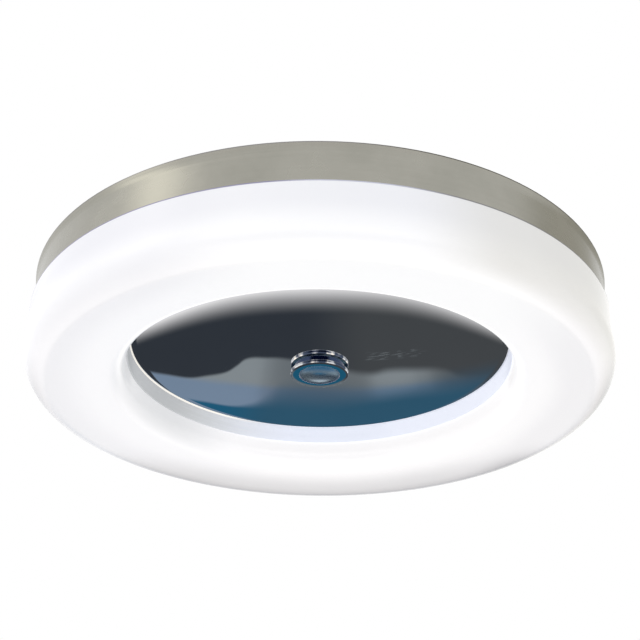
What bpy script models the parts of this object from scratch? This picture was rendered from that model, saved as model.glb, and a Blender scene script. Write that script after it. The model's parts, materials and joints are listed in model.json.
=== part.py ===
"""Round flush ceiling light: a steel pan with a nickel band, an opal ring lens lit by curved boards
of light-emitting diodes, and a chrome dish held up in the middle by a turned finial.

The ceiling is the plane z = 0 and the light hangs below it, centred on the Z axis. Lengths are metres.
"""

import math

import bmesh
import bpy
from mathutils import Matrix, Vector

# General fits
SEAT_GAP = 0.0003
CUT_OVERRUN = 0.002
MERGE_DISTANCE = 0.00001
ROUND_STEPS = 52
SMALL_STEPS = 12
STUD_STEPS = 20
FINIAL_STEPS = 32
CORNER_STEPS = 4

# Opal ring lens
FIXTURE_RADIUS = 0.1905
FIXTURE_DEPTH = 0.066
ACRYLIC_WALL = 0.0025
OUTER_ROUNDING = 0.015
INNER_ROUNDING = 0.012
BOTTOM_RISE = 0.005
NECK_HEIGHT = 0.009
NECK_CLEARANCE = 0.0006
LENS_FLANGE_WIDTH = 0.009

# Nickel band
BAND_STEP = 0.0023
BAND_SHEET = 0.001
BAND_HEIGHT = 0.0255
BAND_FLARE_WIDTH = 0.0014
BAND_FLARE_HEIGHT = 0.004

# Steel pan
PAN_SHEET = 0.001
PAN_RECESS_DEPTH = 0.0115
PAN_HOLE_CLEARANCE = 0.0005

# Foam gasket between the pan and the ceiling, round the recess
GASKET_THICKNESS = 0.0022
GASKET_WIDTH = 0.012
GASKET_INSET = 0.006

# Ceiling strap and its slots for the screws of a ceiling box
STRAP_THICKNESS = 0.002
STRAP_WIDTH = 0.020
STRAP_END_MARGIN = 0.01155
STRAP_CLEARANCE = 0.006
STRAP_CORNER = 0.004
BOX_SCREW_WIDE = 0.0889
BOX_SCREW_NARROW = 0.06985
BOX_SLOT_WIDTH = 0.0048

# Centre stud, its nuts and washer
STUD_RADIUS = 0.005
NUT_ACROSS_FLATS = 0.016
NUT_HEIGHT = 0.005
NUT_BORE_CLEARANCE = 0.0003
PAN_WASHER_RADIUS = 0.012
PAN_WASHER_THICKNESS = 0.0012

# Earth screw, ring terminal and lead
EARTH_SCREW_PLACE = -0.025
EARTH_SCREW_RADIUS = 0.0021
EARTH_HEAD_RADIUS = 0.0042
EARTH_HEAD_HEIGHT = 0.0026
EARTH_RING_RADIUS = 0.0045
EARTH_RING_THICKNESS = 0.0008
EARTH_TAB_WIDTH = 0.0036
EARTH_TAB_LENGTH = 0.011

# Small fixing screws
FIXING_RADIUS = 0.0015
FIXING_HOLE_CLEARANCE = 0.0003
FIXING_HEAD_RADIUS = 0.0028
FIXING_HEAD_HEIGHT = 0.0018
FIXING_TIP_LENGTH = 0.0016

# Boards and their diodes
BOARD_COUNT = 4
BOARD_WIDTH = 0.026
BOARD_THICKNESS = 0.0015
BOARD_END_GAP = 0.008
BOARD_STEPS = 14
BOARD_SCREW_END_INSET = 0.0205
SOLDER_DEPTH = 0.0004
DIODES_PER_ROW = 8
DIODE_ROW_SPACING = 0.014
DIODE_LENGTH = 0.005
DIODE_WIDTH = 0.0035
DIODE_HEIGHT = 0.0012
DIODE_END_INSET = 0.0135
CONNECTOR_LENGTH = 0.009
CONNECTOR_WIDTH = 0.008
CONNECTOR_HEIGHT = 0.005
CONNECTOR_END_INSET = 0.004

# Leads
LEAD_RADIUS = 0.0009
LINK_RADIUS = 0.0014
LEAD_SPACING = 0.0036
LEAD_NESTING_SHARE = 1.3
LEAD_STEPS = 12
LINK_STEPS = 4
LINK_DROOP = 0.0012
SUPPLY_REACH = 0.014
SUPPLY_DROP = 0.0025
DRIVER_REACH = 0.028
OUTPUT_REACH_SHARE = 0.4
OUTPUT_TURN = 0.006
TURN_STEPS = 8
EARTH_REACH = 0.011

# Terminal block in the recess
TERMINAL_LENGTH = 0.030
TERMINAL_WIDTH = 0.016
TERMINAL_HEIGHT = 0.009
TERMINAL_PLACE = -0.012
TERMINAL_STRAP_DISTANCE = 0.018
TERMINAL_POLES = 3
TERMINAL_POLE_RADIUS = 0.0022
TERMINAL_POLE_DEPTH = 0.003
TERMINAL_SCREW_HEIGHT = 0.002

# Grommet where the supply leads pass the pan
GROMMET_DISTANCE = 0.027
GROMMET_BORE_RADIUS = 0.0045
GROMMET_HOLE_RADIUS = 0.0062
GROMMET_RADIUS = 0.0080
GROMMET_LIP = 0.0012

# Driver
DRIVER_LENGTH = 0.104
DRIVER_WIDTH = 0.034
DRIVER_WALL = 0.0015
DRIVER_CLEARANCE = 0.003
DRIVER_LIFT = 0.001
DRIVER_EAR_LENGTH = 0.010
DRIVER_EAR_WIDTH = 0.012
DRIVER_EAR_THICKNESS = 0.002
DRIVER_BOARD_MARGIN = 0.001
DRIVER_BOARD_THICKNESS = 0.0016
TRANSFORMER_LENGTH = 0.020
TRANSFORMER_WIDTH = 0.017
CAPACITOR_RADIUS = 0.004
CAPACITOR_DISTANCE = 0.026
CAPACITORS = 2
COMPONENT_LIFT = 0.001

# Chrome dish and the metal collar round it
DISH_RADIUS = 0.1257
DISH_SHEET = 0.001
DISH_CLEARANCE = 0.0005
DISH_RIM_DEPTH = 0.0296
DISH_RIM_WIDTH = 0.0065
DISH_DOME_DEPTH = 0.0064
DISH_FLAT_RADIUS = 0.021
DISH_HOLE_CLEARANCE = 0.001
DISH_DOME_STEPS = 4
COLLAR_SHEET = 0.001
COLLAR_HEIGHT = 0.015
COLLAR_FLANGE_WIDTH = 0.0082

# Ring that clamps the lens flange to the collar
RETAINER_SHEET = 0.0012
RETAINER_EDGE_MARGIN = 0.0008
RETAINER_SCREWS = 6

# Finial
FINIAL_RADIUS = 0.0193
FINIAL_EDGE = 0.0004
FINIAL_WASHER_THICKNESS = 0.0008
FINIAL_WASHER_RADIUS = 0.0165
FINIAL_STUD_CLEARANCE = 0.0006
FINIAL_SEAT_HEIGHT = 0.0025
FINIAL_BOSS_RADIUS = 0.0085
FINIAL_GROOVE_HEIGHT = 0.0045
FINIAL_NECK_RADIUS = 0.0165
FINIAL_RIM_HEIGHT = 0.0022
FINIAL_RECESS_RADIUS = 0.0134
FINIAL_RECESS_DEPTH = 0.0016
FINIAL_WEB = 0.0011
FINIAL_INSERT_WALL = 0.0014
FINIAL_LENS_EDGE = 0.0010
FINIAL_LENS_HOLLOW = 0.0005
FINIAL_LENS_STEPS = 4
THREAD_LENGTH = 0.005

# Heights worked out from the ceiling down
pan_top = -(GASKET_THICKNESS + SEAT_GAP)
pan_underside = pan_top - PAN_SHEET
floor_top = pan_top - PAN_RECESS_DEPTH
floor_underside = floor_top - PAN_SHEET
strap_underside = -STRAP_THICKNESS
shoulder = -(BAND_HEIGHT + SEAT_GAP)
neck_top = shoulder + NECK_HEIGHT
board_top = pan_underside - SEAT_GAP
board_underside = board_top - BOARD_THICKNESS
lead_level = board_underside - CONNECTOR_HEIGHT / 2
dish_rim_top = -DISH_RIM_DEPTH + DISH_SHEET
collar_flange_underside = dish_rim_top + SEAT_GAP
collar_top = collar_flange_underside + COLLAR_SHEET
lens_flange_underside = collar_top + SEAT_GAP
lens_flange_top = lens_flange_underside + ACRYLIC_WALL
retainer_underside = lens_flange_top + SEAT_GAP
retainer_top = retainer_underside + RETAINER_SHEET
retainer_screw_top = retainer_top + SEAT_GAP + FIXING_HEAD_HEIGHT
driver_top = pan_underside - SEAT_GAP
driver_underside = retainer_screw_top + DRIVER_LIFT
dish_centre = -DISH_RIM_DEPTH - DISH_DOME_DEPTH
finial_washer_top = dish_centre - SEAT_GAP
finial_seat_top = finial_washer_top - FINIAL_WASHER_THICKNESS - SEAT_GAP
finial_seat_underside = finial_seat_top - FINIAL_SEAT_HEIGHT
finial_neck_top = finial_seat_underside - SEAT_GAP
finial_rim_top = finial_seat_underside - FINIAL_GROOVE_HEIGHT
finial_face = finial_rim_top - FINIAL_RIM_HEIGHT
finial_recess_top = finial_face + FINIAL_RECESS_DEPTH
finial_bore_end = finial_recess_top + FINIAL_WEB
stud_end = finial_seat_top - THREAD_LENGTH

# Radii worked out from the outside in
band_radius = FIXTURE_RADIUS - BAND_STEP
pan_radius = band_radius - BAND_SHEET - SEAT_GAP
pan_inner_radius = pan_radius - PAN_SHEET
neck_radius = pan_inner_radius - NECK_CLEARANCE
collar_inner_radius = DISH_RADIUS + DISH_CLEARANCE
collar_radius = collar_inner_radius + COLLAR_SHEET
lens_inner_radius = collar_radius + SEAT_GAP
channel_inner_radius = lens_inner_radius + ACRYLIC_WALL
channel_outer_radius = neck_radius - ACRYLIC_WALL
board_radius = (channel_inner_radius + channel_outer_radius) / 2
retainer_screw_radius = lens_inner_radius - LENS_FLANGE_WIDTH / 2
strap_half_length = BOX_SCREW_WIDE / 2 + STRAP_END_MARGIN
recess_radius = strap_half_length + STRAP_CLEARANCE
recess_outer_radius = recess_radius + PAN_SHEET
stud_hole_radius = STUD_RADIUS + PAN_HOLE_CLEARANCE
nut_bore_radius = STUD_RADIUS + NUT_BORE_CLEARANCE
fixing_hole_radius = FIXING_RADIUS + FIXING_HOLE_CLEARANCE
finial_bore_radius = STUD_RADIUS + FINIAL_STUD_CLEARANCE
finial_insert_radius = finial_bore_radius + FINIAL_INSERT_WALL

# Places of the pieces round the recess
driver_middle = recess_outer_radius + DRIVER_CLEARANCE + DRIVER_WIDTH / 2
driver_end = DRIVER_LENGTH / 2
driver_ear_middle = driver_middle + (DRIVER_WIDTH - DRIVER_EAR_WIDTH) / 2
driver_screw_place = driver_end + DRIVER_EAR_LENGTH / 2
driver_lead_line = driver_middle - DRIVER_WIDTH / 4
terminal_line = STRAP_WIDTH / 2 + TERMINAL_STRAP_DISTANCE + TERMINAL_WIDTH / 2
terminal_top = floor_top + SEAT_GAP + TERMINAL_HEIGHT
terminal_low_end = TERMINAL_PLACE - TERMINAL_LENGTH / 2
terminal_high_end = TERMINAL_PLACE + TERMINAL_LENGTH / 2
grommet_place = terminal_high_end + GROMMET_DISTANCE

# Angles that the boards take up
board_half_angle = math.pi / BOARD_COUNT - BOARD_END_GAP / 2 / board_radius
board_screw_angle = board_half_angle - BOARD_SCREW_END_INSET / board_radius
diode_angle = board_half_angle - DIODE_END_INSET / board_radius
connector_angle = board_half_angle - (CONNECTOR_END_INSET + CONNECTOR_LENGTH / 2) / board_radius
connector_end_angle = board_half_angle - CONNECTOR_END_INSET / board_radius


def clear_scene():
    for old in list(bpy.data.objects):
        bpy.data.objects.remove(old)


def new_collection(name):
    collection = bpy.data.collections.new(name)
    bpy.context.scene.collection.children.link(collection)
    return collection


def principled(name, colour, roughness, metallic=0.0):
    material = bpy.data.materials.new(name)
    material.use_nodes = True
    shader = material.node_tree.nodes["Principled BSDF"]
    shader.inputs["Base Color"].default_value = (*colour, 1.0)
    shader.inputs["Roughness"].default_value = roughness
    shader.inputs["Metallic"].default_value = metallic
    material.diffuse_color = (*colour, 1.0)
    return material


def add_object(name, data, material, collection, place=(0.0, 0.0, 0.0)):
    made = bpy.data.objects.new(name, data)
    made.location = place
    if material is not None:
        data.materials.append(material)
    collection.objects.link(made)
    return made


def shade(mesh):
    mesh.shade_smooth()
    mesh.set_sharp_from_angle(angle=math.radians(35))


def turned(name, outline, steps, material, collection, closed=True, place=(0.0, 0.0, 0.0)):
    """A piece turned about its own Z axis: the outline runs down its outer side and back up inside."""
    profile = bpy.data.meshes.new(name + "_profile")
    count = len(outline)
    edges = [(i, (i + 1) % count) for i in range(count if closed else count - 1)]
    profile.from_pydata([(radius, 0.0, height) for radius, height in outline], edges, [])
    helper = bpy.data.objects.new(name + "_profile", profile)
    bpy.context.scene.collection.objects.link(helper)
    screw = helper.modifiers.new("Turn", "SCREW")
    screw.axis = "Z"
    screw.steps = steps
    screw.render_steps = steps
    screw.use_merge_vertices = True
    screw.merge_threshold = MERGE_DISTANCE
    graph = bpy.context.evaluated_depsgraph_get()
    mesh = bpy.data.meshes.new_from_object(helper.evaluated_get(graph))
    mesh.name = name
    bpy.data.objects.remove(helper)
    bpy.data.meshes.remove(profile)
    shade(mesh)
    return add_object(name, mesh, material, collection, place)


def circle(radius, steps, middle=(0.0, 0.0)):
    turn = 2 * math.pi / steps
    return [
        (middle[0] + radius * math.cos(i * turn), middle[1] + radius * math.sin(i * turn))
        for i in range(steps)
    ]


def arc(middle, radius, start, end, steps):
    return [
        (
            middle[0] + radius * math.cos(start + (end - start) * i / steps),
            middle[1] + radius * math.sin(start + (end - start) * i / steps),
        )
        for i in range(steps + 1)
    ]


def rounded_rectangle(half_x, half_y, corner, middle=(0.0, 0.0)):
    points = []
    for quarter, (side_x, side_y) in enumerate([(1, 1), (-1, 1), (-1, -1), (1, -1)]):
        centre = (
            middle[0] + side_x * (half_x - corner),
            middle[1] + side_y * (half_y - corner),
        )
        start = quarter * math.pi / 2
        points += arc(centre, corner, start, start + math.pi / 2, CORNER_STEPS)
    return points


def plate(name, outlines, thickness, top, material, collection):
    """A flat piece cut to the first outline, with the other outlines as holes."""
    flat = bpy.data.curves.new(name, "CURVE")
    flat.dimensions = "2D"
    flat.fill_mode = "BOTH"
    flat.extrude = thickness / 2
    for outline in outlines:
        spline = flat.splines.new("POLY")
        spline.points.add(len(outline) - 1)
        for point, (x, y) in zip(spline.points, outline):
            point.co = (x, y, 0.0, 1.0)
        spline.use_cyclic_u = True
    return add_object(name, flat, material, collection, (0.0, 0.0, top - thickness / 2))


def add_box(mesh, low, high, turn=0.0):
    """A box between two corners, turned about the Z axis of the fixture."""
    low, high = Vector(low), Vector(high)
    size = Matrix.Diagonal((*(high - low), 1.0))
    matrix = Matrix.Rotation(turn, 4, "Z") @ Matrix.Translation((low + high) / 2) @ size
    bmesh.ops.create_cube(mesh, size=1.0, matrix=matrix)


def add_rod(mesh, place, radius, top, underside, steps=SMALL_STEPS):
    middle = (place[0], place[1], (top + underside) / 2)
    bmesh.ops.create_cone(
        mesh,
        cap_ends=True,
        segments=steps,
        radius1=radius,
        radius2=radius,
        depth=top - underside,
        matrix=Matrix.Translation(middle),
    )


def finish_mesh(name, mesh, material, collection):
    bmesh.ops.remove_doubles(mesh, verts=mesh.verts, dist=MERGE_DISTANCE)
    bmesh.ops.recalc_face_normals(mesh, faces=mesh.faces)
    data = bpy.data.meshes.new(name)
    mesh.to_mesh(data)
    mesh.free()
    shade(data)
    return add_object(name, data, material, collection)


def box(name, low, high, material, collection):
    mesh = bmesh.new()
    add_box(mesh, low, high)
    return finish_mesh(name, mesh, material, collection)


def copies(first, name, places):
    """More of the same piece, which share its mesh. The first takes the first place."""
    first.location = (*places[0], 0.0)
    first.name = f"{name}_1"
    for number, place in enumerate(places[1:], start=2):
        another = bpy.data.objects.new(f"{name}_{number}", first.data)
        another.location = (*place, 0.0)
        first.users_collection[0].objects.link(another)


def as_mesh(made):
    """The same piece as a mesh, so that it can be cut and joined."""
    graph = bpy.context.evaluated_depsgraph_get()
    data = bpy.data.meshes.new_from_object(made.evaluated_get(graph))
    mesh = bmesh.new()
    mesh.from_mesh(data)
    bmesh.ops.remove_doubles(mesh, verts=mesh.verts, dist=MERGE_DISTANCE)
    mesh.to_mesh(data)
    mesh.free()
    shade(data)
    name, place, collection = made.name, made.matrix_world.copy(), made.users_collection[0]
    bpy.data.objects.remove(made)
    data.name = name
    piece = bpy.data.objects.new(name, data)
    piece.matrix_world = place
    collection.objects.link(piece)
    return piece


def as_cutter(made):
    made.hide_render = True
    made.display_type = "WIRE"
    return made


def rod_cutter(name, places, radius, top, underside, collection):
    mesh = bmesh.new()
    for place in places:
        add_rod(mesh, place, radius, top + CUT_OVERRUN, underside - CUT_OVERRUN)
    return as_cutter(finish_mesh(name, mesh, None, collection))


def combine(target, other, operation):
    modifier = target.modifiers.new(other.name, "BOOLEAN")
    modifier.object = other
    modifier.operation = operation


def polar(radius, angle):
    return (radius * math.cos(angle), radius * math.sin(angle))


def swing(start, leaving, end, arriving, reach, steps):
    """Points of one smooth bend that leaves along one direction and arrives along another."""
    start, end = Vector(start), Vector(end)
    first = start + Vector(leaving) * reach
    second = end - Vector(arriving) * reach
    points = []
    for i in range(steps + 1):
        t = i / steps
        points.append(
            start * (1 - t) ** 3
            + first * 3 * t * (1 - t) ** 2
            + second * 3 * t**2 * (1 - t)
            + end * t**3
        )
    return points


def leads(name, routes, radius, material, collection):
    wire = bpy.data.curves.new(name, "CURVE")
    wire.dimensions = "3D"
    wire.bevel_depth = radius
    wire.bevel_resolution = 2
    wire.use_fill_caps = True
    for route in routes:
        spline = wire.splines.new("POLY")
        spline.points.add(len(route) - 1)
        for point, place in zip(spline.points, route):
            point.co = (*place, 1.0)
    return add_object(name, wire, material, collection)


# Materials


def make_materials():
    return {
        "opal_acrylic": principled("opal_acrylic", (0.93, 0.93, 0.93), 0.28),
        "brushed_nickel": principled("brushed_nickel", (0.46, 0.45, 0.41), 0.34, 1.0),
        "chrome": principled("chrome", (0.62, 0.65, 0.68), 0.06, 1.0),
        "satin_aluminium": principled("satin_aluminium", (0.72, 0.73, 0.76), 0.32, 1.0),
        "white_enamel": principled("white_enamel", (0.86, 0.86, 0.85), 0.4),
        "zinc_plate": principled("zinc_plate", (0.56, 0.57, 0.58), 0.38, 1.0),
        "board_white": principled("board_white", (0.88, 0.88, 0.86), 0.45),
        "diode_yellow": principled("diode_yellow", (0.93, 0.82, 0.36), 0.35),
        "connector_white": principled("connector_white", (0.85, 0.84, 0.79), 0.4),
        "driver_shell": principled("driver_shell", (0.80, 0.80, 0.78), 0.5),
        "circuit_green": principled("circuit_green", (0.05, 0.22, 0.10), 0.45),
        "ferrite": principled("ferrite", (0.10, 0.09, 0.09), 0.6),
        "capacitor_sleeve": principled("capacitor_sleeve", (0.03, 0.05, 0.10), 0.4),
        "foam": principled("foam", (0.05, 0.05, 0.05), 0.9),
        "rubber": principled("rubber", (0.03, 0.03, 0.03), 0.7),
        "fibre": principled("fibre", (0.80, 0.78, 0.72), 0.7),
        "brass": principled("brass", (0.72, 0.54, 0.24), 0.3, 1.0),
        "green_screw": principled("green_screw", (0.05, 0.30, 0.12), 0.4),
        "lead_black": principled("lead_black", (0.02, 0.02, 0.02), 0.4),
        "lead_white": principled("lead_white", (0.85, 0.85, 0.83), 0.4),
        "lead_green": principled("lead_green", (0.04, 0.30, 0.10), 0.4),
        "lead_red": principled("lead_red", (0.55, 0.03, 0.03), 0.4),
    }


# What hangs from the ceiling box


def make_strap(parts, looks):
    slot_middle = (BOX_SCREW_WIDE + BOX_SCREW_NARROW) / 4
    slot_half = (BOX_SCREW_WIDE - BOX_SCREW_NARROW) / 4 + BOX_SLOT_WIDTH / 2
    corner = BOX_SLOT_WIDTH / 2
    outlines = [
        rounded_rectangle(strap_half_length, STRAP_WIDTH / 2, STRAP_CORNER),
        circle(nut_bore_radius, STUD_STEPS),
        circle(EARTH_SCREW_RADIUS + SEAT_GAP, SMALL_STEPS, (EARTH_SCREW_PLACE, 0.0)),
    ]
    for side in (-1, 1):
        outlines.append(rounded_rectangle(slot_half, corner, corner, (side * slot_middle, 0.0)))
    plate("ceiling_strap", outlines, STRAP_THICKNESS, 0.0, looks["zinc_plate"], parts)


def make_stud(parts, looks):
    outline = [(0.0, 0.0), (STUD_RADIUS, 0.0), (STUD_RADIUS, stud_end), (0.0, stud_end)]
    turned("centre_stud", outline, STUD_STEPS, looks["zinc_plate"], parts, closed=False)
    hexagon = circle(NUT_ACROSS_FLATS / 2 / math.cos(math.pi / 6), 6)
    bore = circle(nut_bore_radius, STUD_STEPS)
    nut_top = strap_underside - SEAT_GAP
    plate("strap_nut", [hexagon, bore], NUT_HEIGHT, nut_top, looks["zinc_plate"], parts)
    washer_top = floor_underside - SEAT_GAP
    rim = circle(PAN_WASHER_RADIUS, STUD_STEPS)
    plate("pan_washer", [rim, bore], PAN_WASHER_THICKNESS, washer_top, looks["zinc_plate"], parts)
    nut_top = washer_top - PAN_WASHER_THICKNESS - SEAT_GAP
    plate("pan_nut", [hexagon, bore], NUT_HEIGHT, nut_top, looks["zinc_plate"], parts)


def make_earth(parts, looks):
    ring_top = strap_underside - SEAT_GAP
    head_top = ring_top - EARTH_RING_THICKNESS - SEAT_GAP
    outline = [
        (0.0, -SEAT_GAP),
        (EARTH_SCREW_RADIUS, -SEAT_GAP),
        (EARTH_SCREW_RADIUS, head_top),
        (EARTH_HEAD_RADIUS, head_top),
        (EARTH_HEAD_RADIUS, head_top - EARTH_HEAD_HEIGHT),
        (0.0, head_top - EARTH_HEAD_HEIGHT),
    ]
    place = (EARTH_SCREW_PLACE, 0.0, 0.0)
    turned(
        "earth_screw", outline, SMALL_STEPS, looks["green_screw"], parts, closed=False, place=place
    )
    tab = EARTH_TAB_WIDTH / 2
    opening = math.asin(tab / EARTH_RING_RADIUS)
    middle = (EARTH_SCREW_PLACE, 0.0)
    start = math.pi / 2 + opening
    end = math.pi / 2 - opening + 2 * math.pi
    eye = arc(middle, EARTH_RING_RADIUS, start, end, 2 * SMALL_STEPS)
    tail = [(EARTH_SCREW_PLACE + tab, EARTH_TAB_LENGTH), (EARTH_SCREW_PLACE - tab, EARTH_TAB_LENGTH)]
    hole = circle(EARTH_SCREW_RADIUS + SEAT_GAP, SMALL_STEPS, middle)
    plate("earth_ring", [eye + tail, hole], EARTH_RING_THICKNESS, ring_top, looks["brass"], parts)
    lead_start = (
        EARTH_SCREW_PLACE,
        EARTH_TAB_LENGTH + SEAT_GAP,
        ring_top - EARTH_RING_THICKNESS / 2 - LEAD_RADIUS,
    )
    lead_end = (terminal_low_end - SEAT_GAP, terminal_line, terminal_top - TERMINAL_HEIGHT / 2)
    route = swing(lead_start, (0, 1, 0), lead_end, (1, 0, 0), EARTH_REACH, LEAD_STEPS)
    leads("earth_lead", [route], LEAD_RADIUS, looks["lead_green"], parts)


# Pan, band and gasket


def board_middle_angle(index):
    return (2 * index + 1) * math.pi / BOARD_COUNT


def board_screw_places():
    return [
        polar(board_radius, board_middle_angle(index) + side * board_screw_angle)
        for index in range(BOARD_COUNT)
        for side in (-1, 1)
    ]


def driver_screw_places():
    return [(side * driver_screw_place, driver_ear_middle) for side in (-1, 1)]


def make_pan(parts, cutters, looks):
    outline = [
        (pan_radius, pan_top),
        (pan_radius, -BAND_HEIGHT),
        (pan_inner_radius, -BAND_HEIGHT),
        (pan_inner_radius, pan_underside),
        (recess_outer_radius, pan_underside),
        (recess_outer_radius, floor_underside),
        (stud_hole_radius, floor_underside),
        (stud_hole_radius, floor_top),
        (recess_radius, floor_top),
        (recess_radius, pan_top),
    ]
    pan = turned("pan", outline, ROUND_STEPS, looks["white_enamel"], parts)
    places = board_screw_places() + driver_screw_places()
    holes = rod_cutter(
        "pan_screw_holes", places, fixing_hole_radius, pan_top, pan_underside, cutters
    )
    combine(pan, holes, "DIFFERENCE")
    places = [(grommet_place, terminal_line)]
    hole = rod_cutter(
        "pan_lead_hole", places, GROMMET_HOLE_RADIUS, floor_top, floor_underside, cutters
    )
    combine(pan, hole, "DIFFERENCE")


def make_band(parts, looks):
    inner = band_radius - BAND_SHEET
    outline = [
        (band_radius + BAND_FLARE_WIDTH, 0.0),
        (band_radius, -BAND_FLARE_HEIGHT),
        (band_radius, -BAND_HEIGHT),
        (inner, -BAND_HEIGHT),
        (inner, -BAND_FLARE_HEIGHT),
        (inner + BAND_FLARE_WIDTH, 0.0),
    ]
    turned("trim_band", outline, ROUND_STEPS, looks["brushed_nickel"], parts)


def make_gasket(parts, looks):
    inner = recess_outer_radius + GASKET_INSET
    outer = inner + GASKET_WIDTH
    outline = [
        (outer, 0.0),
        (outer, -GASKET_THICKNESS),
        (inner, -GASKET_THICKNESS),
        (inner, 0.0),
    ]
    turned("ceiling_gasket", outline, ROUND_STEPS, looks["foam"], parts)


# Boards, diodes and what joins them


def make_boards(parts, cutters, looks):
    inner = board_radius - BOARD_WIDTH / 2
    outer = board_radius + BOARD_WIDTH / 2
    centre = (0.0, 0.0)
    for index in range(BOARD_COUNT):
        middle = board_middle_angle(index)
        start, end = middle - board_half_angle, middle + board_half_angle
        outline = arc(centre, outer, start, end, BOARD_STEPS)
        outline += arc(centre, inner, end, start, BOARD_STEPS)
        outlines = [outline]
        for side in (-1, 1):
            place = polar(board_radius, middle + side * board_screw_angle)
            outlines.append(circle(fixing_hole_radius, SMALL_STEPS, place))
        name = f"led_board_{index + 1}"
        flat = plate(name, outlines, BOARD_THICKNESS, board_top, looks["board_white"], parts)
        bpy.context.view_layer.update()
        board = as_mesh(flat)
        combine(board, make_board_fittings(index, middle, cutters, looks), "UNION")


def make_board_fittings(index, middle, cutters, looks):
    """The diodes in two rows and a connector at each end, soldered to the board's underside."""
    top = board_underside + SOLDER_DEPTH
    mesh = bmesh.new()
    for row in (-1, 1):
        radius = board_radius + row * DIODE_ROW_SPACING / 2
        for number in range(DIODES_PER_ROW):
            share = 2 * number / (DIODES_PER_ROW - 1) - 1
            low = (radius - DIODE_WIDTH / 2, -DIODE_LENGTH / 2, board_underside - DIODE_HEIGHT)
            high = (radius + DIODE_WIDTH / 2, DIODE_LENGTH / 2, top)
            add_box(mesh, low, high, middle + share * diode_angle)
    near, far = board_radius - CONNECTOR_WIDTH / 2, board_radius + CONNECTOR_WIDTH / 2
    for side in (-1, 1):
        low = (near, -CONNECTOR_LENGTH / 2, board_underside - CONNECTOR_HEIGHT)
        high = (far, CONNECTOR_LENGTH / 2, top)
        add_box(mesh, low, high, middle + side * connector_angle)
    name = f"board_fittings_{index + 1}"
    return as_cutter(finish_mesh(name, mesh, looks["diode_yellow"], cutters))


def make_board_links(parts, looks):
    """Flat two-core leads over the gaps between boards, all but the gap where the driver feeds in."""
    half_gap = math.pi / BOARD_COUNT - connector_end_angle
    reach = half_gap - 2 * SEAT_GAP / board_radius
    gaps = [index for index in range(BOARD_COUNT) if index != BOARD_COUNT // 2 - 1]
    for number, index in enumerate(gaps, start=1):
        gap_angle = (2 * index + 2) * math.pi / BOARD_COUNT
        points = []
        for step in range(LINK_STEPS + 1):
            share = 2 * step / LINK_STEPS - 1
            droop = LINK_DROOP * (1 - share**2)
            points.append((*polar(board_radius, gap_angle + share * reach), lead_level - droop))
        leads(f"board_link_{number}", [points], LINK_RADIUS, looks["lead_white"], parts)


def make_fixings(name, places, head_top, tip, parts, looks):
    """Screws with their heads below, reaching up to their tips."""
    outline = [
        (0.0, tip),
        (FIXING_RADIUS, tip),
        (FIXING_RADIUS, head_top),
        (FIXING_HEAD_RADIUS, head_top),
        (FIXING_HEAD_RADIUS, head_top - FIXING_HEAD_HEIGHT),
        (0.0, head_top - FIXING_HEAD_HEIGHT),
    ]
    first = turned(name, outline, SMALL_STEPS, looks["zinc_plate"], parts, closed=False)
    copies(first, name, places)


def make_board_screws(parts, looks):
    head_top = board_underside - SEAT_GAP
    tip = pan_top + FIXING_TIP_LENGTH
    make_fixings("board_screw", board_screw_places(), head_top, tip, parts, looks)


# Driver


def make_driver(parts, cutters, looks):
    cover_top = driver_underside + DRIVER_WALL
    case_underside = cover_top + SEAT_GAP
    low_y = driver_middle - DRIVER_WIDTH / 2
    high_y = driver_middle + DRIVER_WIDTH / 2
    case = box(
        "driver_case",
        (-driver_end, low_y, case_underside),
        (driver_end, high_y, driver_top),
        looks["driver_shell"],
        parts,
    )
    pocket_end = driver_end - DRIVER_WALL
    pocket_low = low_y + DRIVER_WALL
    pocket_high = high_y - DRIVER_WALL
    pocket_top = driver_top - DRIVER_WALL
    pocket = box(
        "driver_pocket",
        (-pocket_end, pocket_low, case_underside - CUT_OVERRUN),
        (pocket_end, pocket_high, pocket_top),
        None,
        cutters,
    )
    combine(case, as_cutter(pocket), "DIFFERENCE")
    mesh = bmesh.new()
    for side in (-1, 1):
        near, far = driver_end - DRIVER_WALL / 2, driver_end + DRIVER_EAR_LENGTH
        low = (min(side * near, side * far), driver_ear_middle - DRIVER_EAR_WIDTH / 2)
        high = (max(side * near, side * far), driver_ear_middle + DRIVER_EAR_WIDTH / 2)
        add_box(mesh, (*low, driver_top - DRIVER_EAR_THICKNESS), (*high, driver_top))
    ears = as_cutter(finish_mesh("driver_ears", mesh, None, cutters))
    combine(case, ears, "UNION")
    holes = rod_cutter(
        "driver_ear_holes",
        driver_screw_places(),
        fixing_hole_radius,
        driver_top,
        driver_top - DRIVER_EAR_THICKNESS,
        cutters,
    )
    combine(case, holes, "DIFFERENCE")
    box(
        "driver_cover",
        (-driver_end, low_y, driver_underside),
        (driver_end, high_y, cover_top),
        looks["driver_shell"],
        parts,
    )
    head_top = driver_top - DRIVER_EAR_THICKNESS - SEAT_GAP
    tip = pan_top + FIXING_TIP_LENGTH
    make_fixings("driver_screw", driver_screw_places(), head_top, tip, parts, looks)
    make_driver_circuit(parts, looks, pocket_end, pocket_top, cover_top)


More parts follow.
